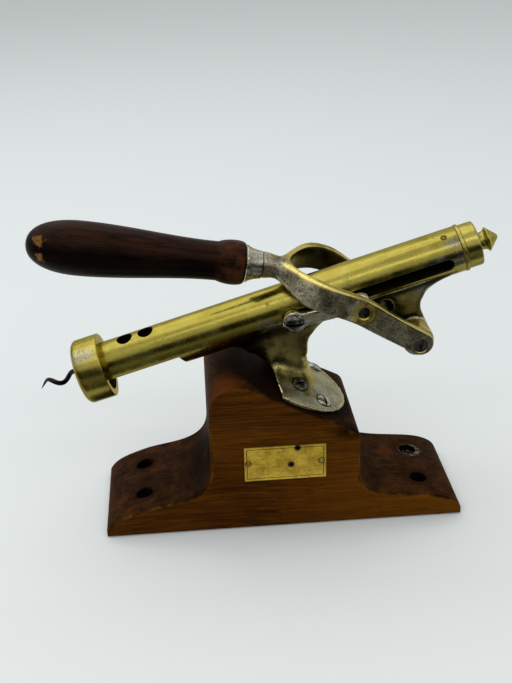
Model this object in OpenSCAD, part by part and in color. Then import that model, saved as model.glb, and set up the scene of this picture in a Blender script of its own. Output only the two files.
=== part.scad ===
// Countertop bar corkscrew: an inclined brass barrel on a wooden plinth, worked by a forked hand lever.
// Frame: origin at the middle of the plinth's underside, +X from the bell to the end cap, +Z up, mm.
// Along the barrel, lengths are "s" (rearward) and "n" (upward, square to the barrel axis).

/* [Plinth] */
// Length of the plinth
plinth_len = 240; // [210:1:280]
// Depth of the plinth, front face to back face
plinth_depth = 82; // [76:1:110]
// Pedestal side below the bell, from the middle
ped_front = 48.5; // [44:0.5:60]
// Pedestal side below the end cap, from the middle
ped_rear = 50; // [47:0.5:60]
// Height of the pedestal's top
ped_top = 106.5; // [100:0.5:108]
// Fall of the pedestal's sloping seat, degrees
seat_fall = 27; // [24:0.5:29]
// Start of the sloping seat, ahead of the middle
seat_start = 24; // [20:0.5:28]
// Radius of the pedestal's front shoulder
shoulder_r = 18; // [10:0.5:22]
// Height of the feet beside the pedestal
foot_h = 19; // [16:0.5:24]
// Height of the feet's rounded noses
nose_h = 4; // [2:0.5:8]
// Radius of the cove between foot and pedestal
cove_r = 16; // [10:0.5:20]

/* [Plinth holes] */
// Spacing of the mounting holes along the plinth
hole_span_x = 189; // [170:1:200]
// Spacing of the mounting holes across the plinth
hole_span_y = 37; // [30:0.5:60]
// Diameter of the mounting holes
hole_d = 10; // [5:0.5:12]

/* [Plate] */
// Width of the bare brass plate
plate_w = 54; // [40:1:70]
// Height of the bare brass plate
plate_h = 25.5; // [18:0.5:34]
// Thickness of the plate
plate_t = 1.2; // [0.8:0.1:2]
// Height of the plate's middle above the table
plate_z = 50.5; // [44:0.5:54]
// Diameter of the plate pins' heads
plate_pin_d = 3; // [2:0.1:4]

/* [Barrel] */
// Rise of the barrel towards the end cap, degrees
tilt = 16.5; // [12:0.5:19]
// Height of the barrel axis above the origin
axis_z = 142.3; // [140:0.1:150]
// Outside diameter of the barrel
barrel_d = 30; // [29:0.5:32]
// Wall of the barrel
barrel_wall = 2.5; // [2:0.1:3.5]
// Barrel length ahead of the origin
barrel_fore = 124; // [118:1:132]
// Barrel length behind the origin
barrel_aft = 123.6; // [120:0.2:130]
// Height of the cork window's edges below the axis
window_drop = 4.9; // [4:0.1:7]
// Rear end of the cork window, ahead of the origin
window_end = 69.5; // [64:0.5:72]
// Lean of the cork window's rear end along the barrel
window_lean = 4; // [0:0.5:8]
// Diameter of the vent holes
vent_d = 9.2; // [5:0.1:11]
// Place of the first vent, ahead of the origin
vent_first = 100; // [95:0.5:104]
// Distance between the vents
vent_gap = 14.4; // [12:0.2:18]
// Turn of the vents from the top of the barrel, degrees
vent_turn = 8; // [0:1:30]
// Width of the side slots
slot_w = 8.2; // [7:0.1:9]
// Drop of the slots' middle below the axis
slot_drop = 2.7; // [0:0.1:4]
// Rear end of the slots, behind the origin
slot_end = 116.5; // [112:0.5:118]

/* [Bracket] */
// Thickness of the flange on the seat
flange_t = 3; // [3:0.5:7]
// Radius of the round flange
flange_r = 40; // [36:0.5:40.5]
// Distance of the flange's middle along the seat
flange_mid = 36; // [34:0.5:42]
// Straight front edge of the flange along the seat
flange_edge = 25; // [20:0.5:28]
// Half width of the bracket's neck at its waist
neck_half = 10; // [8:0.5:12]
// Half width of the bracket's neck under the barrel
neck_top_half = 12; // [10:0.5:13]
// Half width of the neck's root on the flange
neck_root_half = 15; // [14:0.5:18]

/* [Screws] */
// Shank diameter of the flange screws
wood_screw_d = 5; // [4:0.1:5.5]
// Head diameter of the flange screws
wood_head_d = 10; // [8:0.2:11]
// Dome of the flange screws' heads
wood_head_t = 2.2; // [1.5:0.1:3]
// Length of the flange screws in the wood
wood_screw_len = 22; // [16:1:28]

/* [Fulcrum] */
// Place of the fulcrum along the barrel
fulcrum_s = 80; // [78:0.5:82]
// Drop of the fulcrum below the barrel axis
fulcrum_drop = 40.5; // [39:0.5:42]
// Diameter of the fulcrum pin
fulcrum_d = 9; // [6:0.5:10]
// Radius of the strut's eye and of the arms' bosses
eye_r = 10.2; // [9:0.1:11]
// Half width of the strut's eye
eye_half = 14.5; // [13.5:0.1:15.5]
// Half width of the strut
strut_half = 13; // [11:0.5:13]
// Diameter of the hole in the strut
strut_hole_d = 9; // [6:0.5:10]

/* [Lever] */
// Crank length, from fulcrum to link pin
crank_len = 44.8; // [43:0.1:46]
// Crank angle at rest, from the barrel axis, degrees
crank_start = 129.2; // [127:0.1:131]
// Swing of the lever, degrees
swing = 125; // [80:1:128]
// Angle of the lever's arms at rest, from the barrel axis, degrees
arm_angle = 137.4; // [136:0.1:139]
// Half width of the fork over its arms
fork_half = 35; // [35:0.5:37]
// Half width of the fork over its bow
bow_half = 43; // [38:0.5:45]
// Thickness of the fork's arms
arm_t = 6.5; // [5:0.1:6.5]
// Middle of the fork's bow, from the fulcrum
bow_u = 63; // [61:0.5:66]
// Diameter of the link pins
link_pin_d = 7; // [5:0.1:8]
// Diameter of the raised rings round the link pins
ring_d = 12.6; // [11:0.1:14]
// Height of the raised rings
ring_t = 1.5; // [1:0.1:2.5]

/* [Handle] */
// Length of the wooden handle
handle_len = 137.8; // [110:1:150]
// Largest diameter of the handle
handle_d = 34.8; // [30:0.2:40]
// Diameter of the handle's waist
grip_d = 25; // [20:0.2:28]
// Diameter of the bead at the handle's shoulder
bead_d = 28.7; // [26:0.1:32]
// Fall of the handle from the line of the arms, degrees
handle_fall = 17.3; // [14:0.1:20]
// Length of the ferrule
ferrule_len = 10.8; // [8:0.2:14]
// Diameter of the ferrule at the wood
ferrule_d = 24; // [20:0.2:26]
// Diameter of the fork's neck at the ferrule
neck_d = 18; // [14:0.2:19]
// Diameter of the tang in the handle
tang_d = 8; // [6:0.5:10]
// Length of the tang
tang_len = 48; // [30:1:70]

/* [Links] */
// Length of the links between their pins
link_len = 43.5; // [42.5:0.1:44.5]
// Distance of the links from the barrel
link_stand = 3.5; // [2:0.1:3.6]
// Thickness of the links
link_t = 6; // [4:0.1:6]
// Radius of the links' eyes
link_eye_r = 7.2; // [6.5:0.1:8.5]
// Width of the links between the eyes
link_w = 8.4; // [7:0.1:12]

/* [Carriage] */
// Length of the crosshead
crosshead_len = 12; // [10:0.5:14]
// Shank diameter of the link screws
link_screw_d = 6; // [5:0.1:6.4]
// Head diameter of the link screws
link_head_d = 12.8; // [11:0.1:14]
// Height of the link screws' heads
link_head_t = 3.6; // [2.5:0.1:3.7]
// Wall of the slot bushes round the link screws
bush_wall = 0.9; // [0.6:0.1:1]

/* [Worm] */
// Wire diameter of the worm
worm_wire = 3.2; // [2.6:0.1:3.6]
// Diameter of the worm's helix at the middle of the wire
worm_helix_d = 5; // [4.4:0.1:5.6]
// Lead of the worm, per turn
worm_lead = 17.5; // [13:0.5:19]
// Turns of the worm
worm_turns = 3.7; // [3:0.1:4]
// Place of the worm's point, ahead of the origin
worm_tip = 165; // [160:0.5:170]
// Diameter of the spindle behind the worm
spindle_d = 11; // [10.4:0.1:12]
// Diameter of the spindle's journal in the crosshead
journal_d = 8; // [6:0.2:8.4]
// Length of the quick thread nut
nut_len = 14.6; // [10:0.2:18]

/* [Bell and cap] */
// Outside diameter of the bell
bell_d = 43; // [41:0.5:46]
// Length of the bell
bell_len = 18.3; // [15:0.1:20]
// Width of the bell's lip round its mouth
bell_lip = 4.5; // [3.5:0.1:5]
// Overlap of the bell on the barrel
bell_grip = 6.4; // [4:0.2:7]
// Diameter of the cap's bead
cap_bead_d = 31; // [30:0.2:34]
// Diameter of the cap behind the bead
cap_d = 29; // [27:0.2:30]
// Length of the cap
cap_len = 12.4; // [10:0.2:15]
// Length of the finial
finial_len = 13.4; // [11:0.2:16]
// Diameter of the finial's cone
finial_d = 16; // [13:0.2:18]
// Diameter of the finial's neck
finial_neck_d = 12; // [8:0.2:13]

/* [Clearances] */
// Radial play of turning and sliding fits
run_gap = 0.05; // [0.03:0.01:0.1]
// Gap between parts that move past each other
move_gap = 0.3; // [0.2:0.05:0.5]
// Radial play of fixed fits
seat_gap = 0.02; // [0.01:0.01:0.05]

/* [Hidden] */
$fn = 64;

brass = [0.70, 0.58, 0.26];
nickel = [0.62, 0.60, 0.54];
steel = [0.20, 0.20, 0.21];
mahogany = [0.40, 0.20, 0.09];
dark_wood = [0.22, 0.09, 0.06];

eps = 0.1;
through = 200;
curve_steps = 10;

// Barrel, slots and pins
barrel_r = barrel_d / 2;
bore_r = barrel_r - barrel_wall;
small_pin_d = 2.4;
nut_pin_turn = 49.5;
cap_pin_turn = 26.5;
cap_pin_back = 8.7;
cap_pin_s = barrel_aft - cap_pin_back;
spigot_len = cap_pin_back + small_pin_d + 1;

// Linkage: fulcrum E, link pin M on the lever, link screw B on the carriage
fulcrum_n = -fulcrum_drop;
slot_n = -slot_drop;
pin_s = fulcrum_s + crank_len * cos(crank_start);
pin_n = fulcrum_n + crank_len * sin(crank_start);
link_rise = pin_n - slot_n;
link_angle = asin(link_rise / link_len);
carriage_s = pin_s - link_len * cos(link_angle);
pin_end_s = fulcrum_s + crank_len * cos(crank_start - swing);
pin_end_n = fulcrum_n + crank_len * sin(crank_start - swing);
link_angle_end = asin((pin_end_n - slot_n) / link_len);
stroke = pin_end_s - link_len * cos(link_angle_end) - carriage_s;

// Layers across the barrel, from the middle outwards
link_in = barrel_r + link_stand;
link_out = link_in + link_t;
pin_boss_in = link_out + move_gap;
arm_in = fork_half - arm_t;
boss_in = eye_half + move_gap;

// Carriage and worm
crosshead_r = bore_r - move_gap;
screw_r = link_screw_d / 2;
screw_tip = journal_d / 2 + 2;
bush_r = screw_r + bush_wall;
slot_front = carriage_s - bush_r - move_gap;
spindle_r = spindle_d / 2;
collar_t = 3;
collar_r = spindle_r + 2;
washer_t = 1.5;
spindle_nut_t = 5;
crosshead_front = carriage_s - crosshead_len / 2;
crosshead_rear = carriage_s + crosshead_len / 2;
nut_gap = 0.5;
nut_pin_back = 3.1;
nut_rear = crosshead_front - collar_t - nut_gap;
nut_pin_s = nut_rear - nut_pin_back;
worm_r = worm_wire / 2;
helix_r = worm_helix_d / 2;
worm_socket = 9;
worm_root = -worm_tip + worm_lead * worm_turns;
spindle_front = worm_root + worm_wire;
strip_gap = 0.4;
ring_bore_r = spindle_r + strip_gap;
stripper_len = 10;
stripper_front = -window_end + window_lean + nut_gap;

// Bell and cap
bell_rear = -barrel_fore + bell_grip;
bell_front = bell_rear - bell_len;
bell_r = bell_d / 2;
mouth_d = bell_d - 2 * bell_lip;
mouth_r = mouth_d / 2;
lip_r = bell_lip * 0.8;
cap_rear = barrel_aft + cap_len;

// Lever, in its own frame: u along the arms from the fulcrum, v upward
pin_u = crank_len * cos(arm_angle - crank_start);
pin_v = crank_len * sin(arm_angle - crank_start);
hilt_len = 45.2;
hilt_v = -0.6;
neck_r = neck_d / 2;
ferrule_r = ferrule_d / 2;

// Points of a cubic curve, ends included
function bez(a, b, c, d) = [for (i = [0:curve_steps]) let (t = i / curve_steps, q = 1 - t)
    a * q * q * q + b * 3 * q * q * t + c * 3 * q * t * t + d * t * t * t];
// Points of an arc about a centre
function arc(c, r, from, to) = [for (i = [0:curve_steps]) let (w = from + (to - from) * i / curve_steps)
    c + r * [cos(w), sin(w)]];

// Frame of the barrel: x is s, z is n
module on_axis() {
    translate([0, 0, axis_z]) rotate([0, -tilt, 0]) children();
}
// Frame of the pedestal's seat: x runs down the slope, z stands off it
module on_seat() {
    translate([-seat_start, 0, ped_top]) rotate([0, seat_fall, 0]) children();
}
// Frame of the lever at rest: x is u, z is v
module on_lever() {
    on_axis() translate([fulcrum_s, 0, fulcrum_n])
        rotate([0, -arm_angle, 0]) rotate([180, 0, 0]) children();
}
// Frame of the handle: x runs from the fork's neck to the handle's end
module on_handle() {
    on_lever() translate([bow_u + hilt_len, 0, hilt_v]) rotate([0, handle_fall, 0]) children();
}
// A solid of revolution about x, from points [radius, place]
module revolve(points) {
    rotate([0, 90, 0]) rotate_extrude($fn = 96) polygon(points);
}
// A rod along x
module rod(r, from, to) {
    translate([from, 0, 0]) rotate([0, 90, 0]) cylinder(r = r, h = to - from);
}
// A rod along y
module cross_rod(r, from, to) {
    translate([0, from, 0]) rotate([-90, 0, 0]) cylinder(r = r, h = to - from);
}
// An outline in x and z, thick along y on both sides of the middle
module slab(points, half) {
    rotate([90, 0, 0]) linear_extrude(2 * half, center = true) polygon(points);
}
module both_sides() {
    children();
    mirror([0, 1, 0]) children();
}
// A radial rod through the barrel's wall, turned from the top towards the front face
module barrel_pin(s, turn, r, from, to) {
    translate([s, 0, 0]) rotate([turn, 0, 0]) translate([0, 0, from]) cylinder(r = r, h = to - from);
}

// World [x, z] of a point given along the barrel
function axis_xz(s, n) = [s * cos(tilt) - n * sin(tilt), axis_z + s * sin(tilt) + n * cos(tilt)];
// World [x, z] of a point given along the seat and off it
function seat_xz(p, w) = [-seat_start + p * cos(seat_fall) + w * sin(seat_fall),
                          ped_top - p * sin(seat_fall) + w * cos(seat_fall)];

// Plinth
half_len = plinth_len / 2;
half_depth = plinth_depth / 2;
hole_x = hole_span_x / 2;
rear_foot_h = foot_h - 2;
edge_r = 9;
edge_x = ped_rear - edge_r;
edge_z = ped_top - (edge_r + (edge_x + seat_start) * sin(seat_fall)) / cos(seat_fall);
plinth_outline = concat(
    [[half_len, 0], [-half_len, 0]],
    bez([-half_len, nose_h], [-half_len + 4, nose_h + 8], [-hole_x - 11, foot_h * 0.8], [-hole_x, foot_h]),
    bez([-hole_x, foot_h], [-ped_front - 1.8 * cove_r, foot_h + 5.5], [-ped_front - 1, foot_h + 3],
        [-ped_front, foot_h + 1.7 * cove_r]),
    arc([-ped_front + shoulder_r, ped_top - shoulder_r], shoulder_r, 180, 90),
    [[-seat_start, ped_top]],
    arc([edge_x, edge_z], edge_r, 90 - seat_fall, 0),
    bez([ped_rear, rear_foot_h + 1.1 * cove_r], [ped_rear + 2, rear_foot_h + 3],
        [ped_rear + cove_r, rear_foot_h + 3], [hole_x, rear_foot_h]),
    bez([hole_x, rear_foot_h], [hole_x + 13, rear_foot_h - 1.5], [half_len - 2, nose_h + 8],
        [half_len, nose_h]));

// Flange screws, as shares of the flange's radius from its middle, [down the slope, across]
screw_places = [[0.03, -0.505], [0.5, -0.59], [0.03, 0.65], [0.52, 0.68]];
screw_hole_r = wood_screw_d / 2 + seat_gap;

// Plate pins, as shares of the plate from its middle
pin_places = [[-0.45, 0.03], [0.44, 0], [0.15, 0.42], [0.07, -0.06]];
pin_shank_r = 0.6;
pin_len = 8;
pin_head_t = 0.7;

module at_flange_screws() {
    on_seat() for (place = screw_places)
        translate([flange_mid + place[0] * flange_r, place[1] * flange_r, 0]) children();
}
// Frame of each plate pin: z points out of the plinth's front face
module at_plate_pins() {
    for (place = pin_places)
        translate([place[0] * plate_w, -half_depth, plate_z + place[1] * plate_h])
            rotate([90, 0, 0]) children();
}

module plinth() color(mahogany) difference() {
    slab(plinth_outline, half_depth);
    for (x = [-hole_x, hole_x], y = [-hole_span_y / 2, hole_span_y / 2])
        translate([x, y, -eps]) cylinder(d = hole_d, h = foot_h + cove_r);
    at_flange_screws() translate([0, 0, -wood_screw_len - eps])
        cylinder(r = screw_hole_r, h = wood_screw_len + eps + 1);
    at_plate_pins() translate([0, 0, -pin_len - eps]) cylinder(r = pin_shank_r + seat_gap, h = pin_len + 1);
}

module name_plate() color(brass) difference() {
    translate([-plate_w / 2, -half_depth - plate_t, plate_z - plate_h / 2])
        cube([plate_w, plate_t, plate_h]);
    at_plate_pins() translate([0, 0, -eps]) cylinder(r = pin_shank_r + seat_gap, h = plate_t + 2 * eps);
}

// A domed head on z = 0
module dome(r, t) {
    ball = (r * r + t * t) / (2 * t);
    intersection() {
        translate([0, 0, t - ball]) sphere(r = ball, $fn = 96);
        cylinder(r = r, h = t);
    }
}
// A domed head with a screwdriver slot
module slotted_dome(r, t) {
    slot = 1.3;
    difference() {
        dome(r, t);
        translate([-r, -slot / 2, t * 0.45]) cube([2 * r, slot, t]);
    }
}

module plate_pins() color(steel) at_plate_pins() {
    translate([0, 0, -pin_len]) cylinder(r = pin_shank_r, h = pin_len + plate_t);
    translate([0, 0, plate_t]) dome(plate_pin_d / 2, pin_head_t);
}

module flange_screws() color(steel) at_flange_screws() {
    translate([0, 0, -wood_screw_len]) cylinder(d = wood_screw_d, h = wood_screw_len + flange_t);
    translate([0, 0, flange_t]) rotate([0, 0, 60]) slotted_dome(wood_head_d / 2, wood_head_t);
}

// Flange of the bracket, flat on the pedestal's seat
module flange() {
    on_seat() linear_extrude(flange_t) intersection() {
        translate([flange_mid, 0]) circle(r = flange_r, $fn = 96);
        translate([flange_edge, -flange_r]) square([2 * flange_r, 2 * flange_r]);
    }
}

// Neck of the bracket: side, front and plan outlines meet in one waisted casting
neck_lift = axis_z - ped_top;
neck_fore = -36;
neck_aft = 38;
neck_waist = 11.4;
neck_root_len = 30;
neck_sunk = -barrel_r * 0.55;
neck_edge = -barrel_r * 0.87;
neck_waist_xz = axis_xz(neck_waist, -barrel_r - 14);
neck_side = concat(
    [axis_xz(neck_fore, neck_sunk)],
    bez(axis_xz(neck_fore, neck_edge), axis_xz(neck_fore + 12, -barrel_r - 9),
        axis_xz(neck_fore + 20, -barrel_r - 15), seat_xz(flange_edge - 1, flange_t / 2)),
    bez(seat_xz(flange_edge + neck_root_len, flange_t / 2),
        seat_xz(flange_edge + neck_root_len - 9, flange_t + 8),
        axis_xz(neck_waist - 3.9, -barrel_r - 23), neck_waist_xz),
    bez(neck_waist_xz, axis_xz(neck_waist + 1.2, -barrel_r - 6), axis_xz(neck_waist + 6.6, -barrel_r - 2.2),
        axis_xz(neck_aft, neck_edge)),
    [axis_xz(neck_aft, neck_sunk)]);
function neck_flank(side) = bez([side * neck_root_half, flange_t / 2], [side * neck_half, flange_t + 4],
    [side * neck_half, flange_t + neck_lift * 0.5], [side * neck_top_half, flange_t + neck_lift]);
function reverse(points) = [for (i = [len(points) - 1:-1:0]) points[i]];
neck_front = concat(neck_flank(-1), [[-neck_top_half, 4 * neck_lift], [neck_top_half, 4 * neck_lift]],
    reverse(neck_flank(1)));
plan_half = neck_root_half + 3;
plan_fore = neck_fore - 10;
plan_aft = neck_aft + 14;
neck_plan = concat(
    bez([plan_fore, -3], [plan_fore + 20, -4], [-16, -plan_half], [0, -plan_half]),
    bez([0, -plan_half], [22, -plan_half], [plan_aft - 22, -6], [plan_aft, -4]),
    bez([plan_aft, 4], [plan_aft - 22, 6], [22, plan_half], [0, plan_half]),
    bez([0, plan_half], [-16, plan_half], [plan_fore + 20, 4], [plan_fore, 3]));
module neck() {
    intersection() {
        slab(neck_side, 2 * neck_root_half);
        on_seat() rotate([90, 0, 90]) linear_extrude(through, center = true) polygon(neck_front);
        on_axis() linear_extrude(through, center = true) polygon(neck_plan);
    }
}

// Strut under the barrel's rear, with the fulcrum eye
strut_top = -barrel_r * 0.5;
strut_fore = 46;
strut_side = concat(
    [[strut_fore, strut_top]],
    bez([strut_fore, -barrel_r * 0.8], [fulcrum_s - 22, -barrel_r], [fulcrum_s - 14, -barrel_r - 9],
        [fulcrum_s - eye_r, fulcrum_n + 2]),
    [[fulcrum_s, fulcrum_n], [fulcrum_s + eye_r, fulcrum_n]],
    bez([fulcrum_s + eye_r - 1.5, fulcrum_n + 12], [fulcrum_s + eye_r - 3, -barrel_r - 2],
        [fulcrum_s + 20, -barrel_r * 0.9], [barrel_aft - 2, -barrel_r * 0.72]),
    [[barrel_aft - 2, strut_top]]);
strut_hole = [fulcrum_s - 12.5, -barrel_r - 3.5];
module strut() {
    on_axis() {
        slab(strut_side, strut_half);
        translate([fulcrum_s, 0, fulcrum_n]) cross_rod(eye_r, -eye_half, eye_half);
    }
}

// Cork window: the underside cut away from the bell to a leaning rear end
module window_cut() {
    slab([[-barrel_fore - eps, -window_drop], [-window_end, -window_drop],
          [-window_end + window_lean, -barrel_r - 1], [-barrel_fore - eps, -barrel_r - 1]], barrel_r + 1);
}

// Side slots that guide the carriage
module slot_cut() {
    translate([0, 0, slot_n]) {
        for (s = [slot_front + slot_w / 2, slot_end - slot_w / 2])
            translate([s, 0, 0]) cross_rod(slot_w / 2, -barrel_r - eps, barrel_r + eps);
        translate([slot_front + slot_w / 2, -barrel_r - eps, -slot_w / 2])
            cube([slot_end - slot_front - slot_w, barrel_d + 2 * eps, slot_w]);
    }
}

module barrel_casting() color(brass) difference() {
    union() {
        on_axis() rod(barrel_r, -barrel_fore, barrel_aft);
        neck();
        flange();
        strut();
    }
    on_axis() {
        rod(bore_r, -barrel_fore - eps, barrel_aft + eps);
        window_cut();
        slot_cut();
        for (i = [0, 1]) barrel_pin(-vent_first + i * vent_gap, vent_turn, vent_d / 2, 0, barrel_r + 1);
        barrel_pin(nut_pin_s, nut_pin_turn, small_pin_d / 2 + seat_gap, 0, barrel_r + 1);
        barrel_pin(cap_pin_s, cap_pin_turn, small_pin_d / 2 + seat_gap, 0, barrel_r + 1);
        translate([fulcrum_s, 0, fulcrum_n])
            cross_rod(fulcrum_d / 2 + seat_gap, -eye_half - 1, eye_half + 1);
        translate([strut_hole[0], 0, strut_hole[1]])
            cross_rod(strut_hole_d / 2, -eye_half - 1, eye_half + 1);
    }
    at_flange_screws() translate([0, 0, -1]) cylinder(r = screw_hole_r, h = flange_t + 2);
}

// Bell that takes the bottle's neck
module bell_mouth() color(brass) on_axis() difference() {
    revolve(concat(
        [[barrel_r + seat_gap, bell_rear], [bell_r - 1, bell_rear], [bell_r, bell_rear - 1]],
        [for (p = arc([bell_r - lip_r, bell_front + lip_r], lip_r, 0, -90)) p],
        [[mouth_r + 0.8, bell_front], [mouth_r, bell_front + 1], [mouth_r, -barrel_fore],
         [barrel_r + seat_gap, -barrel_fore]]));
    intersection() {
        rod(mouth_r, -barrel_fore - eps, bell_rear + eps);
        translate([-barrel_fore - 1, -mouth_r, -mouth_r])
            cube([bell_grip + 2, mouth_d, mouth_r - window_drop]);
    }
}

// End cap with a beaded edge and a spigot in the barrel
cap_bead = 2.6;
spigot_wall = 2.5;
finial_stud_r = 3;
cap_floor = 4;
module end_cap() color(brass) on_axis() difference() {
    revolve([[0, barrel_aft - spigot_len], [bore_r - seat_gap, barrel_aft - spigot_len],
             [bore_r - seat_gap, barrel_aft], [cap_bead_d / 2 - 0.5, barrel_aft],
             [cap_bead_d / 2, barrel_aft + 0.5], [cap_bead_d / 2, barrel_aft + cap_bead - 0.5],
             [cap_bead_d / 2 - 0.5, barrel_aft + cap_bead], [cap_d / 2, barrel_aft + cap_bead],
             [cap_d / 2, cap_rear - 1], [cap_d / 2 - 1, cap_rear], [0, cap_rear]]);
    rod(bore_r - spigot_wall, barrel_aft - spigot_len - eps, cap_rear - cap_floor);
    rod(finial_stud_r + seat_gap, cap_rear - cap_floor - eps, cap_rear + eps);
    barrel_pin(cap_pin_s, cap_pin_turn, small_pin_d / 2 + seat_gap, bore_r - spigot_wall - 1, barrel_r);
    slot_cut();
}

finial_hole_d = 3;
module finial() color(brass) on_axis() difference() {
    revolve(concat(
        [[0, cap_rear - cap_floor], [finial_stud_r, cap_rear - cap_floor], [finial_stud_r, cap_rear],
         [finial_neck_d / 2 + 0.8, cap_rear]],
        bez([finial_neck_d / 2 + 0.8, cap_rear + 0.6], [finial_neck_d / 2 - 0.6, cap_rear + 1.5],
            [finial_neck_d / 2 - 0.6, cap_rear + finial_len * 0.36],
            [finial_d / 2, cap_rear + finial_len * 0.46]),
        [[finial_d / 2, cap_rear + finial_len * 0.5], [1.5, cap_rear + finial_len - 0.6],
         [0, cap_rear + finial_len]]));
    translate([cap_rear + finial_len * 0.25, 0, 0]) cross_rod(finial_hole_d / 2, -finial_d, finial_d);
}

module cap_pin() color(steel) on_axis()
    barrel_pin(cap_pin_s, cap_pin_turn, small_pin_d / 2, bore_r - spigot_wall, barrel_r - 0.1);

module fulcrum_pin() color(steel) on_axis() translate([fulcrum_s, 0, fulcrum_n])
    cross_rod(fulcrum_d / 2, -fork_half + 0.4, fork_half - 0.4);

module quick_nut() color(brass) on_axis() difference() {
    rod(bore_r - seat_gap, nut_rear - nut_len, nut_rear);
    rod(spindle_r + run_gap, nut_rear - nut_len - eps, nut_rear + eps);
    barrel_pin(nut_pin_s, nut_pin_turn, small_pin_d / 2 + seat_gap, spindle_r + 1, barrel_r);
}

module nut_pin() color(steel) on_axis()
    barrel_pin(nut_pin_s, nut_pin_turn, small_pin_d / 2, spindle_r + 1.4, barrel_r - 0.1);

module stripper_ring() color(brass) on_axis() difference() {
    rod(bore_r - seat_gap, stripper_front, stripper_front + stripper_len);
    rod(ring_bore_r, stripper_front - eps, stripper_front + stripper_len + eps);
}

// Side outline of the fork, along the arms and across them
arm_end_r = 8;
arm_end_v = 1.2;
hilt_u = bow_u + 21;
fork_end = bow_u + fork_half + 1;
fork_side = concat(
    arc([0, arm_end_v], arm_end_r, 90, 270),
    bez([0, arm_end_v - arm_end_r], [pin_u * 0.3, -5.2], [pin_u * 0.78, -4.6], [pin_u + 5.7, -1.7]),
    bez([pin_u + 5.7, -1.7], [bow_u - 2, 1], [bow_u + 6, -1.5], [hilt_u, -5.2]),
    [[fork_end, -4.2], [fork_end, 8.2]],
    bez([hilt_u, 12.6], [bow_u + 14, 14.6], [bow_u + 6, 15.8], [bow_u - 3, 16.2]),
    bez([bow_u - 3, 16.2], [pin_u + 3, 16.6], [pin_u * 0.62, 11], [0, arm_end_v + arm_end_r]));
// Plan of the fork: two straight arms and a bulging bow that runs into the neck
function fork_arm(half, bulge) = concat(
    [[-arm_end_r - 1, half]],
    bez([pin_u - 6, half], [pin_u + 6, half], [bow_u - 12, bulge], [bow_u, bulge]));
function outer_edge(half, bulge) = concat(
    fork_arm(half, bulge),
    bez([bow_u, bulge], [bow_u + 21, bulge], [bow_u + 27, neck_r * 1.8], [fork_end, neck_r * 0.7]),
    [[fork_end, 0]]);
function inner_edge(half, bulge, apex) = concat(
    fork_arm(half, bulge),
    bez([bow_u, bulge], [bow_u + 13, bulge], [apex - 1, bulge * 0.5], [apex, 0]));
function closed_edge(points) =
    concat(points, [for (i = [len(points) - 2:-1:0]) [points[i][0], -points[i][1]]]);
bow_t = arm_t + 1.5;
module fork_plan() {
    difference() {
        polygon(closed_edge(outer_edge(fork_half, bow_half)));
        polygon(closed_edge(concat([[-2 * arm_end_r, arm_in]],
            inner_edge(arm_in, bow_half - bow_t, bow_u + arm_in))));
    }
}
pin_boss_r = link_pin_d / 2 + 3.6;
waist_r = neck_r - 0.9;
waist_len = 17;
module lever_fork() color(nickel) difference() {
    union() {
        on_lever() {
            intersection() {
                slab(fork_side, bow_half);
                linear_extrude(through, center = true) fork_plan();
            }
            both_sides() {
                cross_rod(eye_r, boss_in, arm_in + eps);
                translate([pin_u, 0, pin_v]) {
                    cross_rod(pin_boss_r, pin_boss_in, arm_in + eps);
                    cross_rod(ring_d / 2, fork_half - eps, fork_half + ring_t);
                }
            }
        }
        on_handle() {
            revolve(concat([[0, -waist_len]],
                bez([3.5, -waist_len], [waist_r, -13], [waist_r - 0.6, -6], [neck_r, 0]), [[0, 0]]));
            rod(tang_d / 2, -eps, tang_len);
        }
    }
    on_lever() {
        both_sides() cross_rod(fulcrum_d / 2 + run_gap, boss_in - 1, fork_half + 1);
        translate([pin_u, 0, pin_v]) both_sides()
            cross_rod(link_pin_d / 2 + seat_gap, pin_boss_in - 1, fork_half + ring_t + 1);
    }
}

module ferrule() color(nickel) on_handle() difference() {
    revolve(concat([[0, 0]], bez([neck_r, 0], [neck_r + 0.6, ferrule_len * 0.5],
        [ferrule_r - 1.5, ferrule_len * 0.7], [ferrule_r, ferrule_len]), [[0, ferrule_len]]));
    rod(tang_d / 2 + seat_gap, -eps, ferrule_len + eps);
}

grip_r = grip_d / 2;
bead_r = bead_d / 2;
swell_r = handle_d / 2;
handle_end = ferrule_len + handle_len;
handle_points = concat(
    [[0, ferrule_len]],
    bez([ferrule_r, ferrule_len], [bead_r + 0.5, ferrule_len + 0.5], [bead_r + 0.9, ferrule_len + 11.5],
        [grip_r, ferrule_len + 18]),
    bez([grip_r, ferrule_len + 18], [grip_r - 0.2, ferrule_len + handle_len * 0.33],
        [swell_r, ferrule_len + handle_len * 0.54], [swell_r, ferrule_len + handle_len * 0.755]),
    bez([swell_r, ferrule_len + handle_len * 0.755], [swell_r, ferrule_len + handle_len * 0.91],
        [swell_r * 0.63, handle_end], [0, handle_end]));
module handle() color(dark_wood) on_handle() difference() {
    revolve(handle_points);
    rod(tang_d / 2 + seat_gap, ferrule_len - eps, tang_len + 1);
}

module link_pins() color(steel) on_lever() translate([pin_u, 0, pin_v]) both_sides()
    cross_rod(link_pin_d / 2, pin_boss_in, fork_half + ring_t - 1.5);

// One link, from the carriage's screw to the lever's pin, on the front side
module link() {
    on_axis() translate([carriage_s, 0, slot_n]) rotate([0, -link_angle, 0]) difference() {
        union() {
            cross_rod(link_eye_r, -link_out, -link_in);
            translate([link_len, 0, 0]) cross_rod(link_eye_r, -link_out, -link_in);
            translate([0, -link_out, -link_w / 2]) cube([link_len, link_t, link_w]);
        }
        cross_rod(screw_r + run_gap, -link_out - 1, -link_in + 1);
        translate([link_len, 0, 0]) cross_rod(link_pin_d / 2 + run_gap, -link_out - 1, -link_in + 1);
    }
}
module near_link() color(nickel) link();
module far_link() color(nickel) mirror([0, 1, 0]) link();

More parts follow.
